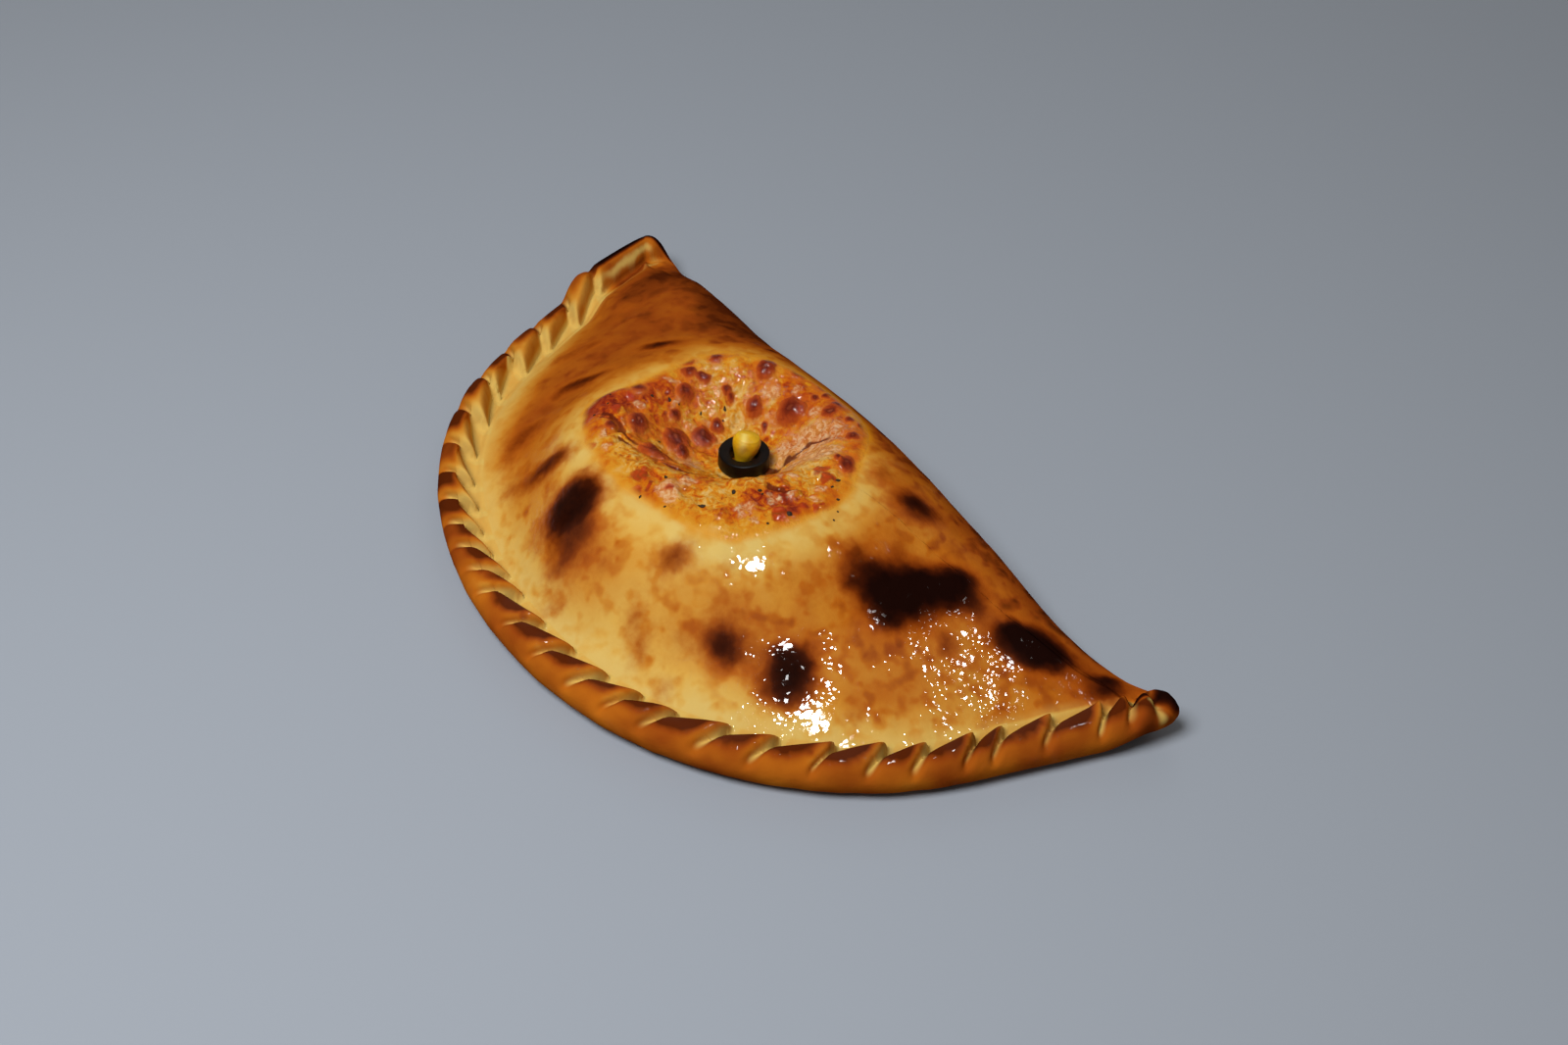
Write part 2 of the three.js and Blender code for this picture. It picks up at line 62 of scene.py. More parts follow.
LOBE_LENGTHS = [16, 17, 17, 18, 18, 17, 19, 19, 16, 14, 13, 12, 12, 12, 17, 17, 17, 15, 14, 19, 17, 19,
                17, 14, 16, 9, 17, 18, 10.5, 10]
BEAD_RADIUS = 7.4  # the rope's round section, which the crimps cut into
BEAD_INSET = 7.0
BEAD_HEIGHT = 7.2
BEAD_CONTACT_INSET = 5.3
WALL_TO = 80.0  # degrees round the bead where the crimped top begins
SLIT_FROM, SLIT_TO = 4.0, 60.0  # degrees round the bead between which the slits deepen
CREST_INSET = 5.7
CRIMP_SLANT = 0.65  # how far along a crimp runs for each millimetre inwards
SLIT_DEPTH, SLIT_HALF = 2.8, 1.5
PUFF = 1.2  # how much the crimps swell between the slits
LIP_FROM, LIP_TO = 24.0, 38.0  # along the rope, where the plain lip of the first tip turns to crimps
LIP_REACH = 11.0  # the inset of the plain lip's inner edge
LIP_GROOVE, LIP_GROOVE_DEPTH, LIP_GROOVE_HALF = 9.0, 1.8, 2.2
OPEN_FROM, OPEN_TO = 8, 14  # the crimps, counted from the first tip, between which they close up
FLAP_REACH, FLAP_SWING, FLAP_ROUND = 11.4, 5.0, 4.2  # a flap's inner edge, its swing and its round side
POCKET_DEPTH, POCKET_FROM, POCKET_TO = 1.8, 11.5, 14.5
ROPE_UNEVEN = 0.15
SECTION_RUN = 0.13  # how far the rope's noise runs on for each degree round the bead

FIRST_TIP_LIFT, FIRST_TIP_FROM, FIRST_TIP_TO = 4.8, 36.0, 50.0
SECOND_TIP_LIFT, SECOND_TIP_FROM, SECOND_TIP_TO = 3.4, 6.0, 24.0
TIP_FADE = 30.0  # how far past a tip its lift runs along the fold
ROPE_END_FROM, ROPE_END_TO = 4, 18  # past a tip, where the rope turns to the fold's plain wall
UNDERCUT_INSET, UNDERCUT_RUN = 16.0, 85.0  # how much further in the curled tips touch the table

VALLEY_INSET = 14.5
VALLEY_HEIGHT = 8.5
FOLD_INSET = 8.0
PILLOW_HEIGHT = 37.5
PILLOW_BY_X = [(-150, 1.3), (-110, 1.0), (-70, 0.76), (-30, 0.72), (0, 0.8), (35, 0.79), (70, 0.68),
               (100, 0.54), (125, 0.35), (150, 0.3)]
ARC_RUN, ARC_POWER = 85.0, 2.1
FOLD_RUN, FOLD_POWER = 30.0, 2.2

MOUND_X, MOUND_Y, MOUND_HEIGHT, MOUND_INNER, MOUND_OUTER = -3.0, -57.0, 43.0, 36.0, 78.0
HOLLOW_X, HOLLOW_Y, HOLLOW_LONG, HOLLOW_SHORT, HOLLOW_TURN = -12.5, -54.0, 39.5, 32.0, 53.0
HOLLOW_DEPTH, HOLLOW_FLAT, HOLLOW_SPAN = 15.5, 0.22, 0.86
PIT_X, PIT_Y = -3.5, -53.5

PATCH_RADII = [(10, 44.7), (31, 40.3), (63, 40.5), (99, 38.3), (134, 40.4), (157, 43.2), (178, 42.8),
               (203, 45.8), (216, 54.7), (229, 53.5), (249, 49.7), (267, 47.4), (287, 46.8), (307, 48.7),
               (322, 50.3), (336, 47.7), (355, 45.7)]
PATCH_SINK = 2.8
PATCH_LAP = 3.5  # how far the thin edge of the cheese lies over the crust
PATCH_PROUD = 0.5
GAP = 0.4

OLIVE_X, OLIVE_Y, OLIVE_RADIUS, OLIVE_HOLE, OLIVE_HEIGHT = -4.3, -53.2, 8.5, 4.7, 5.6
KERNEL_HEIGHT, KERNEL_WIDTH, KERNEL_THICKNESS = 12.2, 9.2, 7.8
KERNEL_LEAN, KERNEL_LEAN_TOWARDS, KERNEL_SHIFT = 8.0, 52.0, -0.4
KERNEL_PROFILE = [(0.0, 0.30), (0.06, 0.50), (0.15, 0.60), (0.3, 0.72), (0.48, 0.88), (0.64, 0.98),
                  (0.76, 1.0), (0.88, 0.90), (0.95, 0.70), (1.0, 0.0)]
CROWN_FROM, CROWN_RADIUS = 0.95, 0.70  # where the kernel's round crown starts, and its share of the width

# ---- Marks on the crust and the patch ----

# Marks are ovals: x, y, half width across, half width deep, strength or height. Across is along MARK_TURN.
MARK_TURN = 52.3
SCORCHES = [
    # The large one to the right of the patch, and those beside it.
    (75.6, -37.8, 10.4, 5.4, 1.2), (60.5, -41.4, 4.4, 3.2, 0.4), (72.9, -50.1, 9.6, 6.2, 1.2),
    (76.6, -56.6, 5, 4.1, 0.9), (64.1, -60.7, 4.4, 2.2, 0.65), (56.6, -54.6, 2.8, 2.3, 0.55),
    (63.6, -52.8, 4.9, 2.9, 0.8), (76.7, -30, 5.8, 4.3, 1), (86, -30.5, 2.8, 3.8, 0.42),
    (49.3, -27.1, 4.4, 4.2, 0.78), (53.6, -25.2, 4.6, 3.4, 0.78), (100.3, -22.2, 7.6, 4.8, 1.2),
    (108.2, -19.1, 8.3, 5, 1.2), (91.3, -45, 3.8, 4, 0.5), (36.3, -28.5, 3.1, 4.2, 0.42),
    # In front of the patch.
    (27.9, -101.7, 4.3, 3.4, 0.52), (29.9, -116.3, 2.8, 2.3, 0.3), (36.6, -120.7, 2.6, 3.2, 0.34),
    (43.2, -109.8, 2.7, 1.9, 0.26), (54, -101.3, 5.6, 3.6, 0.78), (58.8, -101, 3.5, 2.4, 0.55),
    (71.8, -88.9, 7.8, 6.9, 0.86), (75.6, -94.1, 6.4, 4.9, 0.68), (52.6, -76.8, 2.4, 1.5, 0.28),
    (52.3, -92, 1.8, 0.9, 0.34), (60.9, -76, 2.1, 1.4, 0.22), (93, -81.3, 2.6, 2.4, 0.28),
    (51.3, -120.8, 2.7, 3.2, 0.26), (44.9, -96, 1.8, 1.9, 0.22), (40.4, -89.3, 2.1, 1.5, 0.22),
    # To the left of the patch.
    (-14, -112.6, 9.4, 8, 0.86), (-4, -117.4, 6.2, 5, 0.5), (-0.8, -122, 5, 3, 0.42),
    (-38.8, -109, 6, 3.8, 0.58), (-36.2, -105.1, 4, 3.4, 0.4), (10.9, -116.2, 2.1, 1.9, 0.36),
    (-18.7, -104.2, 1.9, 2, 0.28), (-66.3, -101.1, 4.3, 4, 0.36), (-66.2, -94.8, 5, 4.4, 0.36),
    (-62.2, -108.2, 2.5, 5.2, 0.36), (-48, -114.5, 4.6, 3.4, 0.26), (4.5, -131, 2.5, 1.5, 0.36),
    # Towards the tips.
    (-71.9, -76.8, 7.4, 3.8, 0.58), (-66.8, -72.4, 6.2, 3.4, 0.45), (-65.2, -46.4, 6.6, 3.4, 0.78),
    (-92.2, -56.5, 5.6, 3, 0.42), (-103.1, -35.2, 4.4, 3, 0.34), (-80.1, -25.1, 3.6, 2.2, 0.28),
    (-101.2, -44.7, 4.2, 2.8, 0.3), (-95.5, -65.9, 4.6, 3.8, 0.34), (124, -7.3, 5.2, 3.2, 0.95),
    (127.8, -10.3, 4.2, 2.1, 0.9),
]
NOOK_BEFORE, NOOK_HALF = 3.7, 2.0  # the pale nook in the last crimp, before the second tip
DRY = (68.0, -44.0, 23.0, 16.0)  # the oval round the largest scorch that has little oil
BLISTERS = [
    (-42.7, -69.1, 2.3, 2.5, 1), (-35.2, -55.4, 2.8, 2.5, 1.4), (-40.6, -50.7, 2.5, 2.1, 1.2),
    (-36.7, -47.6, 2.5, 1.7, 1.1), (-45.6, -47.7, 2.6, 2.3, 1.8), (-40.7, -39.3, 2, 2.5, 2),
    (-29.5, -77.6, 3, 4.7, 1.3), (-30, -62.5, 1.9, 2, 0.8), (-22.1, -67.8, 4, 5.2, 1.7),
    (-17.2, -68.7, 2, 2.6, 1), (-20.7, -58, 3.7, 3.7, 1.2), (-22.2, -51.7, 2, 2.3, 0.9),
    (-15.8, -80, 4.9, 3.4, 1.3), (-29.7, -42.7, 1.6, 1.7, 0.9), (-26.9, -42.7, 1.3, 1.4, 0.7),
    (-31, -87.3, 1.6, 2.2, 0.7), (-19.8, -37.9, 2.6, 2.7, 1.3), (-9.9, -30.5, 4.4, 3.9, 1.7),
    (-26.9, -28.8, 2.9, 3.2, 1.3), (-28.8, -26.2, 2.2, 2.3, 1.9), (-19.8, -19.9, 2.9, 2.3, 1.5),
    (-11.5, -16.4, 1.9, 2, 1.5), (-7, -16, 1.4, 1.5, 1.1), (-6.6, -18.3, 1.3, 1.4, 0.7),
    (-8.1, -22, 1.6, 1.3, 0.5), (-13.1, -38.5, 1.1, 1.5, 0.5), (-0.3, -18.7, 2.3, 2.3, 0.8),
    (0.8, -22.5, 2.6, 2.8, 0.5), (8.8, -20.8, 1.6, 1.6, 0.8), (22.5, -22.2, 1.3, 2.3, 0.9),
    (17.1, -25.9, 2.2, 2.2, 0.6), (13.6, -19.3, 1.7, 2.3, 0.6), (28.1, -36.5, 2.8, 3.7, 1.5),
    (24.3, -37.4, 1.6, 1.5, 0.9),
]
TOMATO = [
    (-36.1, -80.5, 2.3, 3.2, 0.9), (-3.6, -93.2, 3.4, 4.1, 0.9), (1.3, -98.9, 3.7, 3.1, 0.6),
    (2.3, -93.7, 1.5, 2.7, 0.6), (26.3, -45.2, 3.1, 2.8, 1.1), (30.3, -46.2, 2.5, 2.3, 1),
    (36.3, -67.7, 3, 3, 1.5), (36, -59.9, 1.7, 2.4, 1.2), (38.6, -56.4, 1.4, 2.9, 1.1),
    (38.5, -54.2, 1.2, 1.3, 0.8), (7.7, -89.8, 1.4, 2.3, 0.5), (-41.5, -73, 2, 3, 0.4),
    (-27, -98, 2.6, 3, 0.4),
]
CREAM = [
    (-29.2, -92.3, 1.7, 3.1, 0.6), (-22, -94.5, 2.3, 1.9, 0.6), (-30.2, -82.9, 1.4, 3.1, 0.4),
    (-39.4, -57.4, 3.6, 1.3, 0.3), (-36.9, -73.3, 3.1, 2.1, 0.3), (-33.2, -59.6, 1.3, 1.6, 0.4),
    (-24.1, -54.5, 1.7, 1.9, 0.3), (8, -90.3, 4.2, 6, 0.8), (7.3, -83.6, 2.7, 2.8, 0.6),
    (-12.8, -68.7, 4.6, 4.2, 0.3), (27.2, -76.5, 2.4, 4.5, 0.6), (0.8, -39.2, 4.7, 4.9, 0.3),
    (-20.3, -31.3, 4.6, 2.6, 0.3), (-12.7, -35, 4, 3, 0.4), (1.8, -30.5, 3.8, 3.2, 0.3),
    (-14.8, -24.9, 2.9, 2.1, 0.3), (17.2, -39, 8.1, 5.7, 0.5), (32.4, -50.4, 2.8, 1.9, 0.6),
    (31.1, -58.9, 2.1, 2.8, 0.8), (35.6, -53.6, 2.1, 1.8, 0.6), (28.7, -65, 2.4, 3.2, 0.6),
    (28.8, -74, 2.7, 3.6, 0.7), (33.1, -76.4, 1.8, 1.5, 0.4), (19.4, -56.1, 1.1, 3, 0.4),
    (23.2, -54.6, 1.8, 2, 0.4), (-3.1, -25.4, 2.4, 2.7, 0.4), (9.5, -29, 3, 3.4, 0.4),
    (6, -34, 15, 10, 0.2), (13, -46, 7, 6, 0.2),
]
# Browned creases in the cheese: each a width, then a line through a few places.
CREASES = [
    (1.2, [(-39, -86), (-34, -84.5), (-28, -86), (-22, -84.5), (-16, -80)]),
    (1.0, [(-28, -91), (-21, -88.5), (-16, -84), (-8, -82), (-2, -77), (6, -75.5), (13, -74)]),
    (1.5, [(-12, -84), (-5, -79), (1, -73.5), (8, -72)]),
    (2.2, [(4.5, -52), (3.5, -47), (4.2, -42.5), (4.6, -39)]),
    (1.0, [(4, -51), (3, -45.5), (4.4, -40.5), (5, -37), (4.5, -34), (8, -31.5), (13, -27)]),
    (1.2, [(21, -63), (25.5, -61.5), (28, -58.5), (31, -56)]),
]
# Herb flakes: x, y and length.
HERB_FLAKES = [
    (-37.8, -66.8, 1.2), (-35.2, -61.6, 1.7), (-32.7, -59.6, 0.8), (-28.2, -53.9, 1.2), (-25.5, -46.1, 1.8),
    (-22.4, -74.1, 0.8), (-44.4, -78.9, 0.9), (-41.1, -82, 0.9), (-39.4, -88.2, 1), (-22.9, -48.6, 0.8),
    (19.1, -85.7, 2.8), (2.1, -87.7, 1.6), (4, -98.6, 1.3), (12.6, -95, 1.1), (19.4, -74, 2.1),
    (37.5, -65.7, 2.5), (23.8, -67.1, 1.7), (25.7, -67.5, 1.1), (32.7, -43.5, 2.1), (45.3, -54.3, 1),
    (43.2, -51.2, 0.9), (36.6, -73.2, 1), (34.6, -47.1, 1.4), (39.5, -48.4, 1.3),
]

# ---- Curves and noise ----


def ease(value, low=0.0, high=1.0):
    """0 below low and 1 above high, with a smooth rise between."""
    t = np.clip((value - low) / (high - low), 0.0, 1.0)
    return t * t * (3 - 2 * t)


def fade(value, low, high):
    """1 below low and 0 above high."""
    return 1 - ease(value, low, high)


def bell(value, middle, half):
    """1 at the middle, falling off to both sides."""
    return np.exp(-(((value - middle) / half) ** 2))


def through(knots, place):
    """A smooth curve through (place, value) knots."""
    places, values = np.array(knots, float).T
    slopes = np.gradient(values, places)
    at = np.clip(place, places[0], places[-1])
    i = np.clip(np.searchsorted(places, at) - 1, 0, len(places) - 2)
    run = places[i + 1] - places[i]
    t = (at - places[i]) / run
    a, b = values[i], values[i + 1]
    leaving, arriving = run * slopes[i], run * slopes[i + 1]
    return a + t * (leaving + t * (3 * (b - a) - 2 * leaving - arriving
                                   + t * (2 * (a - b) + leaving + arriving)))


def mix(a, b, share):
    return a + (b - a) * share


def round_compass(knots, degrees):
    """A smooth closed curve through (degrees, value) knots."""
    before = [(place - 360, value) for place, value in knots[-2:]]
    after = [(place + 360, value) for place, value in knots[:2]]
    return through(before + knots + after, np.mod(degrees, 360))


def noise(x, y, size, seed):
    """Smooth noise from -1 to 1 with features of the given size."""
    cells = 64
    lattice = np.random.default_rng(seed).uniform(-1, 1, (cells, cells))
    u, v = np.asarray(x) / size, np.asarray(y) / size
    i, j = np.floor(u).astype(int), np.floor(v).astype(int)
    s, t = ease(u - i), ease(v - j)
    i0, i1, j0, j1 = i % cells, (i + 1) % cells, j % cells, (j + 1) % cells
    low = lattice[i0, j0] * (1 - s) + lattice[i1, j0] * s
    high = lattice[i0, j1] * (1 - s) + lattice[i1, j1] * s
    return low * (1 - t) + high * t


def cloud(x, y, size, seed, octaves=3):
    """Noise with finer noise on it."""
    return sum(noise(x, y, size / 2 ** k, seed + k) / 2 ** k for k in range(octaves))


def oval_distance(x, y, mark):
    """0 at a mark's middle and 1 on its outline."""
    turn = math.radians(MARK_TURN)
    dx, dy = x - mark[0], y - mark[1]
    across = dx * math.cos(turn) + dy * math.sin(turn)
    deep = -dx * math.sin(turn) + dy * math.cos(turn)
    return np.hypot(across / mark[2], deep / mark[3])


def strongest(shares):
    return np.max(np.stack(shares), axis=0)


def wobbled(x, y, amount, size, seed):
    """Places shifted by noise, which makes outlines that are worked out from them uneven."""
    return x + amount * cloud(x, y, size, seed, 2), y + amount * cloud(x, y, size, seed + 5, 2)


def line_distance(x, y, places):
    """Distance from a line through a few places, and the share of the way along it."""
    best = np.full(np.shape(x), 1e9)
    along = np.zeros(np.shape(x))
    spans = len(places) - 1
    for k in range(spans):
        ax, ay = places[k]
        bx, by = places[k + 1]
        length2 = (bx - ax) ** 2 + (by - ay) ** 2
        t = np.clip(((x - ax) * (bx - ax) + (y - ay) * (by - ay)) / length2, 0, 1)
        distance = np.hypot(x - ax - t * (bx - ax), y - ay - t * (by - ay))
        along = np.where(distance < best, (k + t) / spans, along)
        best = np.minimum(best, distance)
    return best, along


# ---- Outline ----


def drawn_outline():
    angles = np.radians(np.arange(180, 360.05, 0.1))
    radii = through(ARC_RADII, np.degrees(angles))
    arc = np.stack([radii * np.cos(angles), radii * np.sin(angles)], 1)
    x = np.arange(arc[-1, 0], arc[0, 0], -OUTLINE_STEP)
    return np.vstack([arc, np.stack([x, through(FOLD_LINE, x)], 1)])


def evenly_spaced(points):
    closed = np.vstack([points, points[:1]])
    passed = np.r_[0, np.cumsum(np.linalg.norm(np.diff(closed, axis=0), axis=1))]
    count = round(passed[-1] / OUTLINE_STEP)
    wanted = np.arange(count) * passed[-1] / count
    return np.stack([np.interp(wanted, passed, closed[:, k]) for k in (0, 1)], 1)


def averaged(vectors, length):
    half = int(length / 2 / OUTLINE_STEP)
    weights = np.hanning(2 * half + 3)[1:-1]
    weights /= weights.sum()
    columns = [np.convolve(np.r_[c[-half:], c, c[:half]], weights, "valid") for c in vectors.T]
    return np.stack(columns, 1)


def outward_directions(edge):
    along = np.roll(edge, -1, 0) - np.roll(edge, 1, 0)
    normals = np.stack([along[:, 1], -along[:, 0]], 1)
    normals /= np.linalg.norm(normals, axis=1)[:, None]
    smooth = averaged(normals, TURN_LENGTH)
    return smooth / np.linalg.norm(smooth, axis=1)[:, None]


EDGE = evenly_spaced(averaged(evenly_spaced(drawn_outline()), CORNER_LENGTH))
OUTWARD = outward_directions(EDGE)
PERIMETER = len(EDGE) * OUTLINE_STEP
SECOND_TIP = int(np.argmax(EDGE[:, 0])) * OUTLINE_STEP


def in_from_edge(station, inset):
    """Plan points at an inset from the edge, at stations along it."""
    places = np.mod(station, PERIMETER)
    knots = np.arange(len(EDGE) + 1) * OUTLINE_STEP

    def at(values):
        return np.interp(places, knots, np.r_[values, values[:1]])
    x = at(EDGE[:, 0]) - inset * at(OUTWARD[:, 0])
    y = at(EDGE[:, 1]) - inset * at(OUTWARD[:, 1])
    return x, y


def past_tip(station):
    """How far along the fold a place is from the nearer tip; 0 on the arc."""
    return np.where(station <= SECOND_TIP, 0, np.minimum(station - SECOND_TIP, PERIMETER - station))


def rope_share(station):
    """1 along the crimped arc and 0 along the fold."""
    return fade(past_tip(station), ROPE_END_FROM, ROPE_END_TO)


def tip_lift(station):
    """How far the tips curl up off the table."""
    away = fade(past_tip(station), 0, TIP_FADE)
    on_fold = station > SECOND_TIP
    near_first = on_fold & (PERIMETER - station < station - SECOND_TIP)
    on_arc = (FIRST_TIP_LIFT * fade(station, FIRST_TIP_FROM, FIRST_TIP_TO)
              + SECOND_TIP_LIFT * fade(SECOND_TIP - station, SECOND_TIP_FROM, SECOND_TIP_TO))
    return np.where(on_fold, np.where(near_first, FIRST_TIP_LIFT, SECOND_TIP_LIFT) * away, on_arc)


# ---- Crimped rope ----

LOBE_SCALE = SECOND_TIP / sum(LOBE_LENGTHS)
LOBE_SPANS = np.array(LOBE_LENGTHS) * LOBE_SCALE
LOBE_STARTS = np.r_[0, np.cumsum(LOBE_LENGTHS)] * LOBE_SCALE


def crimp_phase(station, inset):
    """Which lobe a place on the rope is on, and how far along it; the slits between them slant."""
    slanted = station - CRIMP_SLANT * (inset - CREST_INSET)
    along = np.where(station > SECOND_TIP + TIP_FADE, slanted - PERIMETER, slanted)
    lobe = np.clip(np.searchsorted(LOBE_STARTS, along, "right") - 1, 0, len(LOBE_SPANS) - 1)
    return lobe + (along - LOBE_STARTS[lobe]) / LOBE_SPANS[lobe]


def lobe_puff(phase):
    """How full a lobe is: 0 at its ends and 1 in its middle."""
    return np.abs(np.sin(np.pi * phase)) ** 0.7


def slit_share(phase):
    """1 in the middle of a slit and 0 on the crimps; no two are open alike, and the last is wide."""
    lobe = np.clip(np.floor(phase).astype(int), 0, len(LOBE_SPANS) - 1)
    along = np.mod(phase, 1)
    away = np.minimum(along, 1 - along) * LOBE_SPANS[lobe]
    widened = 0.6 * ease(phase, len(LOBE_SPANS) - 1.8, len(LOBE_SPANS) - 1.2)
    return bell(away, 0, SLIT_HALF * (1 + 0.35 * lobe_own(np.round(phase), 36) + widened))


def lip_share(station):
    """1 where the first tip's edge is a plain lip."""
    on_arc = fade(station, LIP_FROM, LIP_TO)
    on_fold = fade(PERIMETER - station, 2, 14)
    return np.where(station < SECOND_TIP, on_arc, on_fold)


def lobe_own(phase, seed):
    """A value from -1 to 1 that each lobe has for its own."""
    values = np.random.default_rng(seed).uniform(-1, 1, 64)
    return values[np.floor(phase).astype(int) % 64]


def open_share(phase):
    """1 on the crimps towards the first tip, which stand open on their inner side."""
    return fade(phase, OPEN_FROM, OPEN_TO)


def flap_reach(phase):
    """The inset of a flap's inner edge, which runs inwards along the lobe and back at the next slit."""
    along = np.mod(phase, 1)
    rise = np.clip((along - 0.08) / 0.8, 0, 1)
    back = ease(np.mod(along - 0.88, 1) / 0.2)
    saw = np.where((along >= 0.08) & (along < 0.88), rise - 0.5, 0.5 - back)
    own = lobe_own(np.floor(phase + 0.06), 38)
    return FLAP_REACH + (0.8 + open_share(phase)) * own - 2.0 * open_share(phase) + FLAP_SWING * saw


def flap_share(phase, inset, lip):
    """1 on a flap and 0 inside it; the first tip's plain lip is one even flap."""
    from_edge = (mix(flap_reach(phase), LIP_REACH, lip) - inset) / FLAP_ROUND
    return (1 - (1 - np.clip(from_edge, 0, 1)) ** 2.2) ** 0.6


# ---- Pillow, hollow and patch ----


def arc_distance(x, y):
    compass = np.mod(np.degrees(np.arctan2(y, x)), 360)
    on_arc = np.where(compass < 90, 360, np.maximum(compass, 180))
    return through(ARC_RADII, on_arc) - np.hypot(x, y)


def pillow_height(x, y):
    from_arc = np.clip((arc_distance(x, y) - VALLEY_INSET) / ARC_RUN, 0, 1)
    from_fold = np.clip((through(FOLD_LINE, x) - y) / FOLD_RUN, 0, 1)
    side = (1 - (1 - from_fold) ** FOLD_POWER) ** (1 / FOLD_POWER)
    pillow = PILLOW_HEIGHT * through(PILLOW_BY_X, x) * (1 - (1 - from_arc) ** ARC_POWER)
    mound = fade(np.hypot(x - MOUND_X, y - MOUND_Y), MOUND_INNER, MOUND_OUTER)
    return VALLEY_HEIGHT + (pillow + (MOUND_HEIGHT - VALLEY_HEIGHT - pillow) * mound) * side


def hollow_share(x, y):
    """0 at the pit and 1 on the hollow's lip, by ellipses that shrink towards the pit."""
    turn = math.radians(HOLLOW_TURN)

    def squared(px, py):
        dx, dy = px - PIT_X, py - PIT_Y
        return ((dx * math.cos(turn) + dy * math.sin(turn)) / HOLLOW_LONG,
                (-dx * math.sin(turn) + dy * math.cos(turn)) / HOLLOW_SHORT)
    px, py = squared(x, y)
    cx, cy = squared(HOLLOW_X, HOLLOW_Y)
    a = cx * cx + cy * cy - 1
    b = -2 * (px * cx + py * cy)
    return (-b - np.sqrt(b * b - 4 * a * (px * px + py * py))) / (2 * a)


def base_height(x, y):
    fall = HOLLOW_DEPTH * fade(hollow_share(x, y), HOLLOW_FLAT, HOLLOW_FLAT + HOLLOW_SPAN)
    return pillow_height(x, y) - fall


def crust_relief(x, y):
    """Bubbles under the scorches and the unevenness of baked dough."""
    bubbles = sum(mark[4] * fade(oval_distance(x, y, mark), 0.1, 1.5) for mark in SCORCHES)
    dents = 0.4 * cloud(x, y, 26, 11) + 0.14 * cloud(x, y, 7, 21)
    return 0.9 * np.minimum(bubbles, 1.3) + dents


def top_height(x, y):
    return base_height(x, y) + crust_relief(x, y)


def compass_to(x, y):
    """The direction of a place from the pit."""
    return np.arctan2(y - PIT_Y, x - PIT_X)


def round_pit(reach, compass):
    """The place at a distance from the pit in a direction."""
    return PIT_X + reach * np.cos(compass), PIT_Y + reach * np.sin(compass)


def drawn_in(x, y, share):
    """A place moved towards the pit, to a share of its distance from it."""
    return mix(PIT_X, x, share), mix(PIT_Y, y, share)


def patch_reach(compass):
    """The patch's radius from the pit."""
    return round_compass(PATCH_RADII, np.degrees(compass))


def from_patch(x, y):
    """How far a place lies outside the patch's edge."""
    return np.hypot(x - PIT_X, y - PIT_Y) - patch_reach(compass_to(x, y))


SEAT_HEIGHT = float(base_height(OLIVE_X, OLIVE_Y)) + PATCH_PROUD

# ---- Meshes ----

# The frame's origin is the middle of the calzone's box, so the olive ring says how far the drawing moves.
OLIVE_LOW, OLIVE_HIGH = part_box("olive_ring")
SHIFT = np.array([(OLIVE_LOW.x + OLIVE_HIGH.x) / 2 - OLIVE_X * MM,
                  (OLIVE_LOW.y + OLIVE_HIGH.y) / 2 - OLIVE_Y * MM, 0.0])


def piece(name, points, faces, marks, material, nodes):
    """A mesh piece from points in millimetres, with its marks as point attributes."""
    mesh = bpy.data.meshes.new(name)
    mesh.from_pydata((np.asarray(points) * MM + SHIFT).tolist(), [], faces)
    mesh.polygons.foreach_set("use_smooth", [True] * len(mesh.polygons))
    for mark, values in marks.items():
        layer = mesh.attributes.new(mark, "FLOAT", "POINT")
        layer.data.foreach_set("value", np.asarray(values, np.float32))
    mesh.materials.append(material)
    mesh.validate()
    mesh.update()
    made = bpy.data.objects.new(name, mesh)
    bpy.context.scene.collection.objects.link(made)
    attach(made, "root")
    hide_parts(*nodes)
    return made


def ring_faces(outer, inner):
    """Quads between two rings of point numbers that run the same way."""
    return np.stack([outer, np.roll(outer, -1), np.roll(inner, -1), inner], 1).tolist()


def halving_faces(outer, inner):
    """Faces between a ring and one with half as many points."""
    a, b, c = outer[0::2], outer[1::2], np.roll(outer, -2)[0::2]
    p, q = inner, np.roll(inner, -1)
    return np.stack([a, b, q, p], 1).tolist() + np.stack([b, c, q], 1).tolist()


def fan_faces(ring, tip, flipped=False):
    """Triangles from a ring to one point."""
    ends = np.roll(ring, -1)
    pair = (ends, ring) if flipped else (ring, ends)
    return np.stack([*pair, np.full(len(ring), tip)], 1).tolist()


class Skin:
    """A closed surface built from rings of points, with marks carried along."""

    def __init__(self):
        self.points, self.faces, self.marks = [], [], {}
        self.count = 0

    def ring(self, x, y, z, **marks):
        """Adds a ring of points and returns their numbers."""
        size = np.size(x)
        numbers = np.arange(self.count, self.count + size)
        self.points.append(np.stack([x, y, z], 1).reshape(-1, 3))
        for name, values in marks.items():
            self.marks.setdefault(name, []).append(np.broadcast_to(values, (size,)))
        self.count += size
        return numbers

    def join(self, outer, inner):
        halved = len(outer) == 2 * len(inner)
        self.faces += halving_faces(outer, inner) if halved else ring_faces(outer, inner)

    def onward(self, outer, x, y, z, **marks):
        """Adds a ring and joins it to the one before."""
        inner = self.ring(x, y, z, **marks)
        self.join(outer, inner)
        return inner

    def close(self, ring, x, y, z, flipped=False, **marks):
        """Adds a point and joins a ring to it."""
        tip = self.ring([x], [y], [z], **marks)
        self.faces += fan_faces(ring, tip[0], flipped)

    def made(self, name, material, nodes, slot):
        marks = {key: np.concatenate(values) for key, values in self.marks.items()}
        return piece(name, np.vstack(self.points), self.faces, marks, material, nodes)


# ---- Dough ----

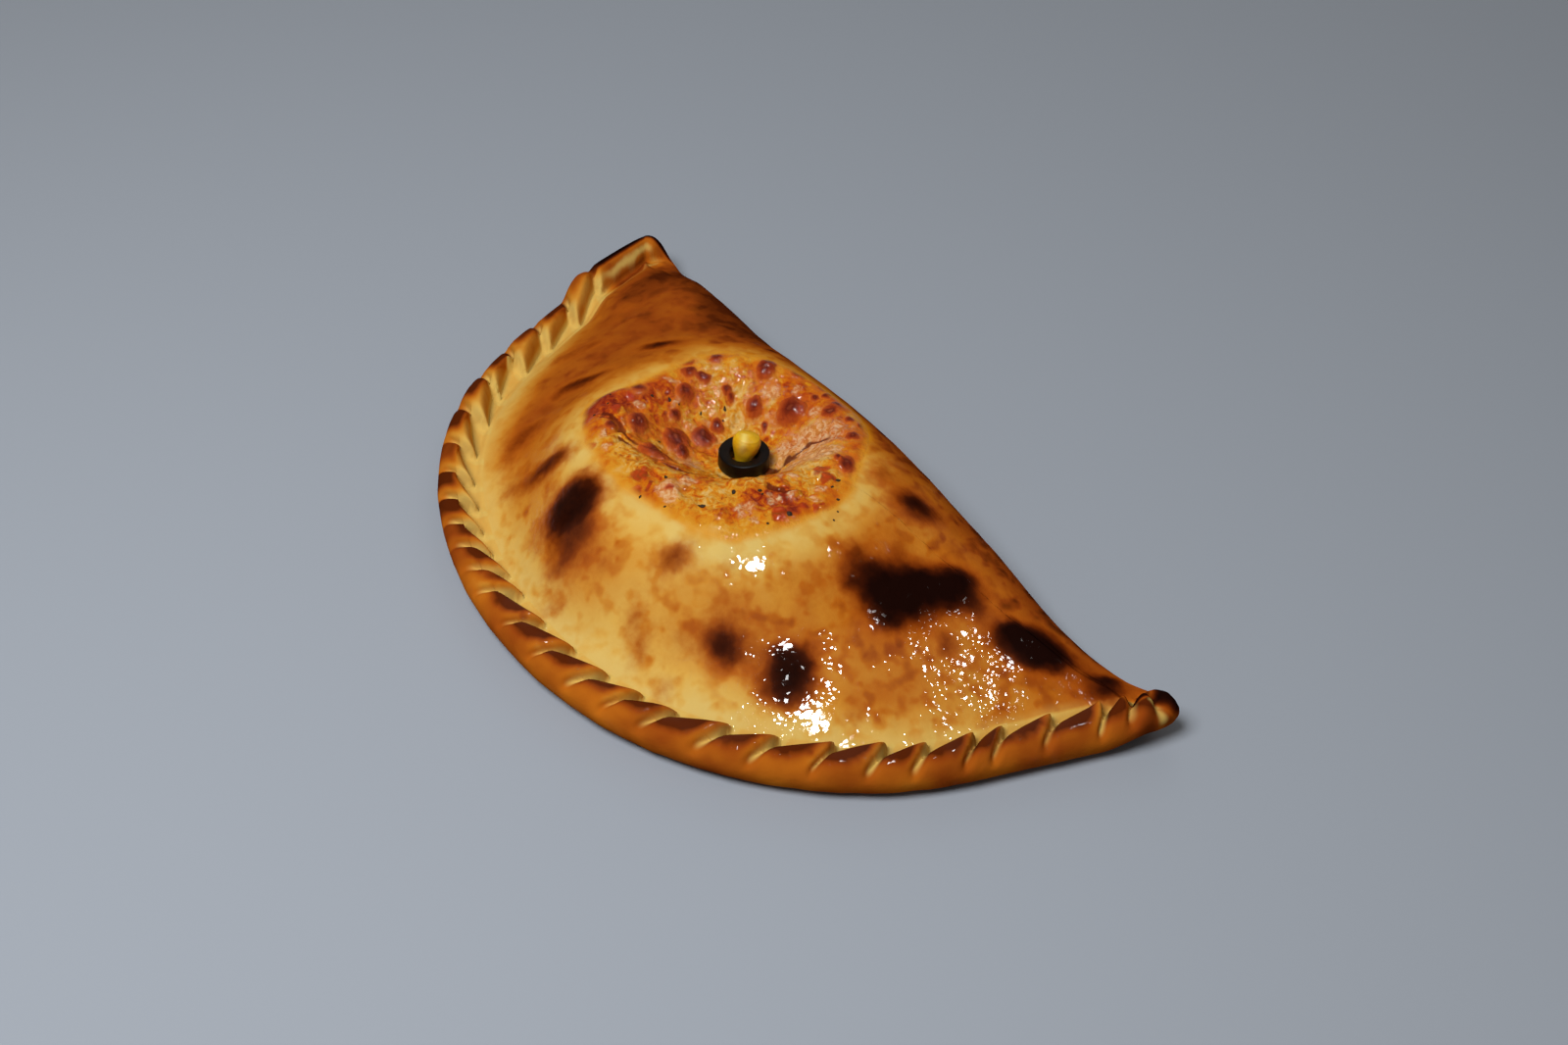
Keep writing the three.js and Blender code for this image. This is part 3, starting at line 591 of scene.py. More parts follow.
COLUMNS_PER_LOBE = 24
FOLD_COLUMNS = 200
WALL_STEPS = 26
TOP_STEPS = 26
UNDER_SHARE = 0.3  # share of the rim's rows that lie under the fold side's widest line
PILLOW_STEPS = 80
BED_STEPS = 8
BEAD_FROM = -77.0  # degrees round the bead where the rope's wall leaves the underside
UNDERSIDE = {"tan": 0.7, "scorch": 0.0, "cream": 0.0, "stain": 0.0, "oil": 0.0, "mottle": 0.3}


def column_stations():
    """Where the columns of points stand along the edge: evenly in each lobe, then along the fold."""
    rope = [LOBE_STARTS[i] + span * k / COLUMNS_PER_LOBE
            for i, span in enumerate(LOBE_SPANS) for k in range(COLUMNS_PER_LOBE)]
    fold = np.linspace(SECOND_TIP, PERIMETER, FOLD_COLUMNS, endpoint=False)
    return np.r_[rope, fold]


def fold_wall(station, way):
    """A point on the fold side's wall, by the share of the way over the rim."""
    if way < UNDER_SHARE:
        angle = math.pi / 2 * (1 - way / UNDER_SHARE)
        inset = FOLD_INSET * (1 - math.cos(angle) ** (2 / FOLD_POWER))
        x, y = in_from_edge(station, inset)
        return x, y, np.full(len(station), VALLEY_HEIGHT * (1 - math.sin(angle) ** (2 / FOLD_POWER)))
    inset = FOLD_INSET * ((way - UNDER_SHARE) / (1 - UNDER_SHARE)) ** 2
    x, y = in_from_edge(station, inset)
    return x, y, top_height(x, y)


def crimp_fall(phase):
    """How far the crimped surface lies under the round rope."""
    own = (0.5 + 0.7 * open_share(phase)) * lobe_own(phase, 33) * lobe_puff(phase)
    return PUFF * (1 - lobe_puff(phase)) + SLIT_DEPTH * slit_share(phase) - own


def bead_radius(station, along_section):
    """The bead's slightly uneven radius; along_section runs on from the wall to the top."""
    return BEAD_RADIUS + ROPE_UNEVEN * cloud(station, along_section, 9, 31)


def bead_inset(degrees):
    return BEAD_INSET - BEAD_RADIUS * math.cos(math.radians(degrees))


def rope_wall(station, degrees):
    """The rope's round outer wall, where the slits between the crimps run out."""
    angle = math.radians(degrees)
    radius = bead_radius(station, degrees * SECTION_RUN)
    if degrees > SLIT_FROM:
        way = ease(degrees, SLIT_FROM, SLIT_TO) * (1 - lip_share(station))
        radius = radius - way * crimp_fall(crimp_phase(station, bead_inset(degrees)))
    x, y = in_from_edge(station, BEAD_INSET - radius * math.cos(angle))
    return x, y, BEAD_HEIGHT + radius * math.sin(angle)


def rope_top(station, inset):
    """The rope's crimped top: flaps with slits between them, and pockets inside them."""
    phase = crimp_phase(station, inset)
    lip = lip_share(station)
    x, y = in_from_edge(station, inset)
    floor = top_height(x, y) - POCKET_DEPTH * fade(inset, POCKET_FROM, POCKET_TO) * ease(inset, 4, 8)
    radius = bead_radius(station, WALL_TO * SECTION_RUN + inset - CREST_INSET)
    round_top = BEAD_HEIGHT + np.sqrt(radius ** 2 - np.minimum(inset - BEAD_INSET, 0) ** 2)
    groove = LIP_GROOVE_DEPTH * bell(inset, LIP_GROOVE, LIP_GROOVE_HALF)
    round_top = round_top - mix(crimp_fall(phase), groove, lip)
    return x, y, floor + (round_top - floor) * flap_share(phase, inset, lip)


def scorched(x, y):
    """1 where the crust is burnt black, falling to 0 over a soft brown edge."""
    wx = x + 0.9 * cloud(x, y, 6, 41, 2) + 0.6 * cloud(x, y, 2.2, 43, 2)
    wy = y + 0.9 * cloud(x, y, 6, 45, 2) + 0.6 * cloud(x, y, 2.2, 47, 2)
    unburnt = np.ones(np.shape(x))
    for mark in SCORCHES:
        outside = (oval_distance(wx, wy, mark) - 1) * min(mark[2], mark[3])
        share = 0.5 * fade(outside, -4.8, 2.2) + 0.5 * fade(outside, -3.2, 7.5)
        unburnt = unburnt * (1 - np.minimum(mark[4] * share, 0.97))
    return 1 - unburnt


def oiled(x, y):
    """1 where oil lies on the crust: in front and to the right, and little of it on the largest scorch."""
    oil = ease(0.5 * cloud(x, y, 13, 53, 3) + 0.6 * ease(x - 1.1 * y, 0, 120), -0.1, 0.9)
    oil = oil * (0.2 + 0.8 * ease(x, -60, 0)) * ease(through(FOLD_LINE, x) - y, 6, 30)
    return oil * (1 - 0.75 * fade(oval_distance(x, y, DRY), 0.6, 1.5))


def crust_marks(x, y, tan, cream, top=1.0, burnt=0.0):
    """How browned, scorched, pale, stained with sauce, oily and mottled the crust is."""
    return {
        "tan": tan,
        "scorch": np.maximum(scorched(x, y), burnt),
        "cream": cream,
        "stain": fade(from_patch(x, y) + 0.8 * cloud(x, y, 5, 49, 2), -2.5, 3.5),
        "oil": oiled(x, y) * top,
        "mottle": top * (1 - 0.6 * ease(-x, 24, 70)),
    }


def pillow_tan(x, y):
    """Browning of the pillow: palest round the patch and along the rope, darker to the fold and the tips."""
    from_fold = through(FOLD_LINE, x) - y
    from_arc = arc_distance(x, y)
    tan = 0.4 + 0.1 * cloud(x, y, 24, 51)
    tan += 0.25 * ease(-x, 28, 80) * ease(from_arc, 12, 36)
    tan += 0.1 * ease(-x, 20, 80)
    tan += 0.18 * ease(x, 30, 105) * ease(from_arc, 18, 46)
    tan += (0.3 - 0.12 * ease(-x, 50, 100)) * fade(from_fold, 4, 44)
    tan -= 0.34 * fade(from_patch(x, y), 2, 15) * ease(from_fold, 8, 40) * (1 - 0.5 * ease(-x, 34, 56))
    tan -= 0.36 * fade(from_arc, 14, 30) * ease(from_fold, 30, 70)
    return tan


def tip_burns(station, inset):
    """The black edge and far side of the first tip's lip, and the black cap and far side of the second."""
    lip = lip_share(station) * fade(inset, 4.6, 7.4) * np.where(station < SECOND_TIP, 1, 0)
    from_first = np.where(station > SECOND_TIP, PERIMETER - station, PERIMETER)
    behind_first = 0.95 * fade(from_first, 8, 26) * fade(inset, 4.0, 7.4)
    past = station - SECOND_TIP
    behind_second = ease(past, -4, 3) * fade(past, 10, 18) * fade(inset, 6.0, 10.5)
    cap = 0.9 * ease(past, -13, -7) * fade(past, 0, 8) * ease(inset, 5.0, 7.5) * fade(inset, 11.0, 13.0)
    return strongest([lip, behind_first, behind_second, cap])


def last_nook(station, degrees, inset):
    """The pale nook in the last crimp before the second tip."""
    across = bell(station, SECOND_TIP - NOOK_BEFORE, NOOK_HALF)
    return 0.85 * across * ease(degrees, -25, 10) * fade(inset, 5.0, 6.5)


def crimp_tan_and_shade(station, degrees, inset, phase):
    """Browning of the rope: an orange-brown wall, and crimps that start dark and end golden; the wall's lower
    half also gets painted shade.
    """
    along = np.mod(phase, 1)
    own = lobe_own(phase, 34)
    opened = open_share(phase)
    inward = mix(ease(inset, 1.5, 7.0), fade(inset, 3.5, 8.0), opened)
    dark = inward * ease(along, 0.0, 0.12) * fade(along, 0.5, 0.9)
    golden = ease(inset, 0.5, 4.0) * ease(along, 0.66, 0.97)
    tan = 0.68 - 0.08 * opened + 0.09 * cloud(station, degrees * SECTION_RUN, 14, 71)
    tan += mix(0.44 + 0.14 * own, 0.3 + 0.3 * own, opened) * dark - 0.22 * golden
    tan += 0.26 * ease(station, SECOND_TIP - 18, SECOND_TIP - 3) * (1 - slit_share(phase))
    # Painted shade: the wall darkens below the bead's widest line, towards the table.
    tan += 0.14 * ease(-degrees, 0, 70) - 0.26 * opened * ease(inset, 4.0, 8.5)
    return mix(tan, 0.64 + 0.2 * ease(inset, 10.0, 12.5), lip_share(station))


def crimp_cream(station, degrees, inset, phase, inside):
    """Where the rope's dough is pale: in slits and pockets, on open crimps, and in the lip's groove."""
    along = np.mod(phase, 1)
    slit = slit_share(phase) * ease(degrees, SLIT_FROM, 56) * (0.9 + 0.25 * lobe_own(np.round(phase), 37))
    middle = ease(along, 0.05, 0.3) * fade(along, 0.6, 0.9)
    slit = slit + open_share(phase) * 0.55 * ease(inset, 5.0, 9.0) * (1 - middle)
    reach = flap_reach(phase)
    pocket = inside * (1 - 0.5 * ease(inset, reach, reach + 3.0))
    wander = 0.6 * cloud(station, inset, 6, 73)
    groove = 0.85 * bell(inset, LIP_GROOVE + wander, 1.3)
    pale = strongest([slit, pocket, last_nook(station, degrees, inset)])
    return mix(pale, groove, lip_share(station))


def rim_marks(station, degrees, inset, x, y):
    """The marks of the rim: the rope's along the arc and the pillow's along the fold."""
    phase = crimp_phase(station, inset)
    lip = lip_share(station)
    share = rope_share(station)
    inside = fade(flap_share(phase, inset, lip), 0.1, 0.5)
    tan = mix(crimp_tan_and_shade(station, degrees, inset, phase), 0.2, inside * (1 - lip))
    tan = mix(pillow_tan(x, y), tan, share)
    cream = crimp_cream(station, degrees, inset, phase, inside) * share
    top = mix(1.0, 0.08 + 0.6 * ease(degrees, 40, 80), share)
    burnt = tip_burns(station, inset) * (0.4 + 0.6 * ease(degrees, -5, 35))
    return crust_marks(x, y, tan, cream, top, burnt * (1 - last_nook(station, degrees, inset)))


def dough_underside(skin, station):
    """The flat underside, which is drawn in most at the curled tips, where the rope overhangs it."""
    to_tip = np.minimum(np.minimum(station, np.abs(station - SECOND_TIP)), PERIMETER - station)
    undercut = UNDERCUT_INSET * fade(to_tip, 0, UNDERCUT_RUN)
    contact = mix(FOLD_INSET, BEAD_CONTACT_INSET, rope_share(station))
    x, y = in_from_edge(station, contact + undercut)
    outer = skin.ring(x, y, np.zeros(len(x)), **UNDERSIDE)
    skin.close(outer, MOUND_X, MOUND_Y, 0.0, flipped=True, **UNDERSIDE)
    return outer


def dough_rim(skin, station, outer):
    """The rope along the arc, and the fold's round wall, from the underside to the pillow's edge."""
    share, lift = rope_share(station), tip_lift(station)
    steps = WALL_STEPS + TOP_STEPS
    for step in range(1, steps + 1):
        degrees = mix(BEAD_FROM, WALL_TO, min(step / WALL_STEPS, 1))
        if step <= WALL_STEPS:
            inset = bead_inset(degrees)
            rope = rope_wall(station, degrees)
        else:
            inset = mix(bead_inset(WALL_TO), VALLEY_INSET, (step - WALL_STEPS) / TOP_STEPS)
            rope = rope_top(station, inset)
        x, y, z = mix(np.stack(fold_wall(station, step / steps)), np.stack(rope), share)
        outer = skin.onward(outer, x, y, z + lift, **rim_marks(station, degrees, inset, x, y))
    return outer


def dough_pillow(skin, spoke, outer):
    """The pillow's top, from its edge in to the bed under the patch."""
    share, lift = rope_share(spoke), tip_lift(spoke)
    vx, vy = in_from_edge(spoke, mix(FOLD_INSET, VALLEY_INSET, share))
    compass = compass_to(vx, vy)
    px, py = round_pit(patch_reach(compass) - PATCH_LAP, compass)
    for step in range(1, PILLOW_STEPS + 1):
        way = step / PILLOW_STEPS
        x, y = mix(vx, px, way), mix(vy, py, way)
        z = top_height(x, y) + lift * fade(way, 0, 0.35)
        cream = 0.5 * fade(way, 0.0, 0.09) * share
        outer = skin.onward(outer, x, y, z, **crust_marks(x, y, pillow_tan(x, y), cream))
    return px, py, outer


def dough_bed(skin, px, py, outer):
    """The bed that the patch lies in, down to the pit."""
    for step in range(1, BED_STEPS):
        x, y = drawn_in(px, py, 1 - step / BED_STEPS)
        outer = skin.onward(outer, x, y, base_height(x, y) - PATCH_SINK, **UNDERSIDE)
    skin.close(outer, PIT_X, PIT_Y, SEAT_HEIGHT - PATCH_PROUD - PATCH_SINK, **UNDERSIDE)


def dough():
    skin = Skin()
    station = column_stations()
    outer = dough_underside(skin, station)
    outer = dough_rim(skin, station, outer)
    px, py, outer = dough_pillow(skin, station[::2], outer)
    dough_bed(skin, px, py, outer)
    return skin.made("calzone_dough", crust_material(), ["dough"], "crust")


# ---- Cheese and tomato patch ----

PATCH_COLUMNS = 480
PATCH_STEPS = 100
PATCH_UNDER = (0.97, 0.92, 0.9, 0.75, 0.5, 0.25)  # the underside's rings, by their share of the radius
PATCH_FEATHER = 0.6  # how far the thin edge runs out past the patch's radius
BLISTER_WOBBLE = (0.55, 2.4, 81)  # how far outlines stray, over what length, and the noise's seed
SAUCE_WOBBLE = (1.3, 4.0, 85)


def in_patch(x, y, way):
    """How far a place lies inside the patch's edge, by the share of the way to it."""
    return (1 - way) * patch_reach(compass_to(x, y))


def crease_mark(x, y):
    """1 in the middle of a browned crease; creases vary in width and run out at their ends."""
    rx, ry = wobbled(x, y, *SAUCE_WOBBLE)
    crease = np.zeros(np.shape(x))
    uneven = 0.5 + 1.2 * (0.5 + 0.5 * noise(x, y, 4, 87))
    for wide, places in CREASES:
        distance, along = line_distance(rx, ry, places)
        ends = ease(np.sin(np.pi * along), 0, 0.5)
        crease = np.maximum(crease, fade(distance / (wide * uneven), 0.2, 1.3) * ends)
    return crease


def sauce_red_and_shade(x, y):
    """How red the sauce is, from cheese to tomato, with painted shade that darkens the far lip and the left
    side.
    """
    red = 0.34 + 0.3 * cloud(x, y, 9, 91) + 0.45 * ease(-x, 26, 44) * ease(-y, 62, 84)
    # Painted shade: the far lip and the left side are made redder and darker.
    red += 0.2 * ease(y, -38, -18) + 0.16 * ease(-x, 16, 34)
    red += 0.25 * fade(np.hypot(x - 2, y + 95), 4, 16)
    red += 0.25 * fade(np.hypot(x - 30, y + 66), 4, 22)
    return red


def patch_marks(x, y, way):
    """The marks of the cheese, and those of the crust that its feathered edge fades into."""
    rx, ry = wobbled(x, y, *SAUCE_WOBBLE)
    wx, wy = wobbled(x, y, *BLISTER_WOBBLE)
    blister = strongest([1 - oval_distance(wx, wy, mark) / 1.15 for mark in BLISTERS])
    inward = in_patch(x, y, way)
    return {
        "blister": np.maximum(blister, -1),
        "tomato": strongest([fade(oval_distance(rx, ry, mark), 0.4, 1.25) for mark in TOMATO]),
        "pale": strongest([fade(oval_distance(rx, ry, mark), 0.3, 1.4) for mark in CREAM]),
        "crease": crease_mark(x, y),
        # The red mark also carries the painted shade of the far lip and left side.
        "red": sauce_red_and_shade(x, y),
        "busy": 0.25 + 0.75 * ease(inward, 2.5, 11),
        "feather": ease(0.7 * cloud(x, y, 3.5, 95, 2) - inward, -3.6, -0.6),
        **crust_marks(x, y, pillow_tan(x, y), np.zeros(np.shape(x))),
    }


def patch_relief(x, y):
    """Blisters, lumps of tomato and cheese, and creases, above the patch's own surface."""
    wx, wy = wobbled(x, y, *BLISTER_WOBBLE)
    rx, ry = wobbled(x, y, *SAUCE_WOBBLE)
    relief = 0.7 * cloud(x, y, 5, 101) + 0.32 * cloud(x, y, 2.2, 111, 2)
    for mark in BLISTERS:
        dome = np.clip(1 - (oval_distance(wx, wy, mark) / 1.12) ** 2.2, 0, 1)
        relief += min(1.35 * mark[4], 0.8 * min(mark[2], mark[3])) * np.sqrt(dome)
    for mark in TOMATO + CREAM:
        relief += 0.8 * mark[4] * fade(oval_distance(wx, wy, mark), 0.3, 1.3)
    for _, places in CREASES:
        distance, along = line_distance(rx, ry, places)
        relief -= 1.1 * fade(distance, 0, 1.8) * ease(np.sin(np.pi * along), 0, 0.5)
    return relief


def patch_top(x, y, way):
    """The patch's upper side: thin and smooth at its edge, rough inside, and level under the olive."""
    inward = in_patch(x, y, way)
    thin = 0.2 * ease(inward, 0, 1.5) - 0.12
    full = ease(inward, 1.0, 4.5) * (0.5 + 0.5 * ease(inward, 3, 11))
    height = base_height(x, y) + crust_relief(x, y) * fade(inward, 3, 12) + thin
    height = height + full * (patch_relief(x, y) + PATCH_PROUD)
    from_olive = np.hypot(x - OLIVE_X, y - OLIVE_Y)
    return mix(SEAT_HEIGHT, height, ease(from_olive, OLIVE_RADIUS + 0.2, OLIVE_RADIUS + 3.0))


def topping():
    """The cheese and tomato: from its rim over the underside, then from its rim over the top."""
    compass = np.linspace(0, 2 * math.pi, PATCH_COLUMNS, endpoint=False)
    px, py = round_pit(patch_reach(compass) + PATCH_FEATHER, compass)
    skin = Skin()
    rim = skin.ring(px, py, patch_top(px, py, 1.0), **patch_marks(px, py, 1.0))
    outer = rim
    for share in PATCH_UNDER:
        x, y = drawn_in(px, py, share)
        z = base_height(x, y) - PATCH_SINK * ease(1 - share, 0.05, 0.12) + 0.3 * GAP - 0.5
        inner = skin.ring(x, y, z, **patch_marks(x, y, share))
        skin.faces += [face[::-1] for face in ring_faces(outer, inner)]
        outer = inner
    middle = patch_marks(np.array([PIT_X]), np.array([PIT_Y]), 0.0)
    skin.close(outer, PIT_X, PIT_Y, SEAT_HEIGHT - PATCH_PROUD - PATCH_SINK, flipped=True, **middle)
    outer = rim
    for step in range(1, PATCH_STEPS):
        share = 1 - step / PATCH_STEPS
        x, y = drawn_in(px, py, share)
        outer = skin.onward(outer, x, y, patch_top(x, y, share), **patch_marks(x, y, share))
    skin.close(outer, PIT_X, PIT_Y, SEAT_HEIGHT, **middle)
    return skin.made("cheese_and_tomato", cheese_material(), ["cheese_topping"], "cheese_and_tomato")


FLAKE_SIDES = 9


def herb_flakes():
    """Torn flakes of dried herb, each a thin uneven leaf pressed on the cheese."""
    random = np.random.default_rng(7)
    skin = Skin()
    for x, y, length in HERB_FLAKES:
        turn = random.uniform(0, 2 * math.pi)
        angles = np.linspace(0, 2 * math.pi, FLAKE_SIDES, endpoint=False)
        radii = length / 2 * random.uniform(0.65, 1.1, FLAKE_SIDES)
        ax = radii * np.cos(angles)
        ay = 0.65 * radii * np.sin(angles)
        fx = x + ax * math.cos(turn) - ay * math.sin(turn)
        fy = y + ax * math.sin(turn) + ay * math.cos(turn)
        away = np.hypot(fx - PIT_X, fy - PIT_Y) / patch_reach(compass_to(fx, fy))
        ground = patch_top(fx, fy, away)
        curl = random.uniform(0.0, 0.25, FLAKE_SIDES)
        low = skin.ring(fx, fy, ground - 0.3)
        high = skin.ring(mix(fx, x, 0.12), mix(fy, y, 0.12), ground + 0.22 + curl)
        skin.join(low, high)
        skin.close(high, x, y, float(np.mean(ground)) + 0.42)
        skin.faces.append(low[::-1].tolist())
    return skin.made("herb_flakes", herb_material(), ["cheese_topping"], "cheese_and_tomato")


# ---- Olive ring and corn kernel ----

OLIVE_SIDES = 128
OLIVE_BARREL, OLIVE_EDGE, HOLE_EDGE = 0.15, 0.7, 0.5  # the wall's swelling, and the round edges


def olive_profile():
    """The slice's section, as (radius, height), from its lower outer edge up and round to the hole."""
    edge_middle = OLIVE_RADIUS - OLIVE_BARREL - OLIVE_EDGE
    profile = []
    for degrees in range(-90, 91, 15):
        angle = math.radians(degrees)
        height = OLIVE_EDGE if degrees <= 0 else OLIVE_HEIGHT - OLIVE_EDGE
        profile.append((edge_middle + OLIVE_EDGE * math.cos(angle), height + OLIVE_EDGE * math.sin(angle)))
    for share in (0.35, 0.7):
        profile.append((mix(edge_middle, OLIVE_HOLE + HOLE_EDGE, share), OLIVE_HEIGHT - 0.12 * share))
    for degrees in range(90, 271, 20):
        angle = math.radians(degrees)
        height = OLIVE_HEIGHT - 0.75 if degrees <= 180 else 0.6
        profile.append((OLIVE_HOLE + HOLE_EDGE * (1 + math.cos(angle)), height + HOLE_EDGE * math.sin(angle)))
    return profile


def olive():
    """A slice of olive: a slightly barrelled wall, rounded cut edges and an uneven hole."""
    outer_radius = OLIVE_RADIUS - OLIVE_BARREL
    around = np.linspace(0, 2 * math.pi, OLIVE_SIDES, endpoint=False)
    skin = Skin()
    rings = []
    for radius, height in olive_profile():
        outer = ease(radius, OLIVE_HOLE + 0.6, outer_radius - 0.5)
        barrel = OLIVE_BARREL * math.sin(math.pi * height / OLIVE_HEIGHT) * outer
        uneven = mix(0.28, 0.1, outer) * noise(around * 6, height, 5, 131)
        r = radius + barrel + uneven
        z = SEAT_HEIGHT + GAP * 0.5 + height + 0.08 * noise(around * 8, radius, 4, 141)
        rings.append(skin.ring(OLIVE_X + r * np.cos(around), OLIVE_Y + r * np.sin(around), z,
                               cut=fade(radius, outer_radius - 1.0, outer_radius - 0.3)))
    for a, b in zip(rings, rings[1:] + rings[:1]):
        skin.join(a, b)
    return skin.made("olive_slice", olive_material(), ["olive_ring"], "black_olive")


KERNEL_SIDES = 72
KERNEL_STEPS = 48


def kernel_radius(share):
    """The kernel's radius, as a share of its widest, by the share of the way up."""
    if share < CROWN_FROM:
        return float(through(KERNEL_PROFILE, share))
    return CROWN_RADIUS * math.sqrt((1 - share) / (1 - CROWN_FROM))


def kernel():
    """A corn kernel: a blunt tip that widens to a rounded crown, dimpled on one face."""
    around = np.linspace(0, 2 * math.pi, KERNEL_SIDES, endpoint=False)
    towards, lean = math.radians(KERNEL_LEAN_TOWARDS), math.radians(KERNEL_LEAN)
    skin = Skin()
    rings = []
    for step in range(KERNEL_STEPS):
        share = math.sin(math.pi / 2 * step / KERNEL_STEPS)
        radius = kernel_radius(share)
        u = radius * KERNEL_WIDTH / 2 * np.cos(around)
        v = radius * KERNEL_THICKNESS / 2 * np.sin(around)
        v = v + 0.5 * bell(u, 0, 1.6) * bell(share, 0.62, 0.22) * (np.sin(around) < 0)
        h = share * KERNEL_HEIGHT + 0.12 * noise(u, v, 3, 151)
        along = u * math.cos(lean) + h * math.sin(lean) + KERNEL_SHIFT
        up = -u * math.sin(lean) + h * math.cos(lean)
        x = OLIVE_X + along * math.cos(towards) - v * math.sin(towards)
        y = OLIVE_Y + along * math.sin(towards) + v * math.cos(towards)
        streak = bell(u, -1.2, 1.1) * (np.sin(around) < 0.2) * ease(share, 0.35, 0.9)
        rings.append(skin.ring(x, y, SEAT_HEIGHT + 2 * GAP + up, streak=streak))
    for a, b in zip(rings, rings[1:]):
        skin.join(a, b)
    skin.faces.append(rings[0][::-1].tolist())
    skin.faces.append(rings[-1].tolist())
    return skin.made("sweetcorn_kernel", corn_material(), ["corn_kernel"], "sweetcorn")


# ---- Materials ----


def srgb(red, green, blue):
    """A colour as a screen shows it, from 0 to 255, as Blender's linear values."""
    linear = [((c / 255 + 0.055) / 1.055) ** 2.4 if c > 10 else c / 255 / 12.92 for c in (red, green, blue)]
    return (*linear, 1.0)


# The crust from palest to darkest.
CRUST_TANS = [(0.0, (210, 177, 98)), (0.2, (207, 161, 74)), (0.4, (196, 131, 44)), (0.6, (177, 97, 22)),
              (0.8, (142, 64, 16)), (1.0, (82, 32, 8))]
PALE_DOUGH = (206, 174, 92)
SAUCE_STAIN = (206, 134, 22)
# The stages of a scorch: where each starts and is full, how much it covers, and its colour.
SCORCH_STAGES = [(0.03, 0.34, 0.8, (166, 82, 18)), (0.2, 0.52, 0.9, (120, 48, 8)),
                 (0.38, 0.74, 0.95, (60, 20, 6)), (0.58, 0.98, 1.0, (24, 8, 5))]
# The melted topping: from cheese to sauce, curds of pale cheese, pieces of tomato, and browned blisters,
# whose tops carry a painted highlight.
SAUCE_REDS = [(0.0, (208, 164, 90)), (0.25, (202, 138, 34)), (0.5, (194, 104, 8)), (0.75, (170, 64, 10)),
              (1.0, (124, 30, 8))]
CURDS = [(0.34, (166, 82, 40)), (0.46, (198, 132, 84)), (0.6, (212, 168, 120)), (0.78, (222, 192, 152))]
TOMATO_FLESH = [(0.35, (128, 26, 8)), (0.5, (164, 42, 14)), (0.7, (186, 84, 40))]
# The blister domes' colours from foot to top; the last, lighter pinkish stop is a painted highlight on each
# top.
BLISTER_DOMES_AND_HIGHLIGHT = [(0.0, (178, 84, 26)), (0.22, (162, 66, 20)), (0.5, (130, 44, 14)), (0.78, (94, 26, 10)),
                 (1.0, (134, 60, 34))]
BLISTER_HALO = (190, 96, 26)
SAUCE_SPECKS = (130, 40, 10)
BROWNED_CREASE = (92, 28, 8)


class Nodes:
    """Short names for building a material's nodes. Amounts are numbers or other nodes' outputs."""

    def __init__(self, name):
        self.material = bpy.data.materials.new(name)
        self.material.use_nodes = True
        self.tree = self.material.node_tree
        self.shader = self.tree.nodes["Principled BSDF"]
        self.place = self.tree.nodes.new("ShaderNodeTexCoord").outputs["Object"]

    def link(self, source, target):
        if hasattr(source, "links"):
            self.tree.links.new(source, target)
        else:
            target.default_value = source

    def fed(self, node, output, inputs):
        """A node's output, once its inputs are linked or set."""
        for key, source in inputs.items():
            self.link(source, node.inputs[key])
        return node.outputs[output]

    def mark(self, name):
        node = self.tree.nodes.new("ShaderNodeAttribute")
        node.attribute_name = name
        return node.outputs["Fac"]

    def math(self, operation, a, b=0.0, c=0.0, clamp=False):
        node = self.tree.nodes.new("ShaderNodeMath")
        node.operation = operation
        node.use_clamp = clamp
        return self.fed(node, 0, {0: a, 1: b, 2: c})

    def plus(self, a, b):
        return self.math("ADD", a, b)

    def times(self, a, b):
        return self.math("MULTIPLY", a, b)

    def less(self, a, b):
        return self.math("SUBTRACT", a, b)

    def frayed(self, value, noise, strength):
        """A value made uneven by noise, which goes from 0 to 1."""
        return self.plus(value, self.times(self.less(noise, 0.5), strength))

    def noise(self, size_mm, detail=3.0, roughness=0.55, distortion=0.0):
        return self.fed(self.tree.nodes.new("ShaderNodeTexNoise"), "Fac", {
            "Vector": self.place, "Scale": 1 / (size_mm * MM), "Detail": detail, "Roughness": roughness,
            "Distortion": distortion})

    def cells(self, size_mm):
        return self.fed(self.tree.nodes.new("ShaderNodeTexVoronoi"), "Distance", {
            "Vector": self.place, "Scale": 1 / (size_mm * MM)})

    def step(self, value, low, high):
        """0 below low and 1 above high, with a smooth rise between."""
        node = self.tree.nodes.new("ShaderNodeMapRange")
        node.interpolation_type = "SMOOTHSTEP"
        return self.fed(node, "Result", {"Value": value, "From Min": low, "From Max": high})

    def ramp(self, value, stops):
        """A colour by a value, from (place, colour) stops."""
        node = self.tree.nodes.new("ShaderNodeValToRGB")
        elements = node.color_ramp.elements
        while len(elements) < len(stops):
            elements.new(0.5)
        for element, (position, color) in zip(elements, stops):
            element.position = position
            element.color = srgb(*color)
        return self.fed(node, "Color", {"Fac": value})

    def mix(self, share, a, b):
        node = self.tree.nodes.new("ShaderNodeMix")
        node.data_type = "RGBA"
        return self.fed(node, 2, {0: share, 6: a, 7: b})  # 6, 7 and 2 are its sockets for colours

    def tint(self, color, amount, low, high, share, paint):
        """A colour laid over another one as the amount goes from low to high."""
        return self.mix(self.times(self.step(amount, low, high), share), color, srgb(*paint))

    def bump(self, height, depth_mm, before=None):
        inputs = {"Height": height, "Strength": 1.0, "Distance": depth_mm * MM}
        if before is not None:
            inputs["Normal"] = before
        return self.fed(self.tree.nodes.new("ShaderNodeBump"), "Normal", inputs)

    def finish(self, color, roughness, normal):
        self.link(color, self.shader.inputs["Base Color"])
        self.link(roughness, self.shader.inputs["Roughness"])
        if normal is not None:
            self.link(normal, self.shader.inputs["Normal"])
        return self.material


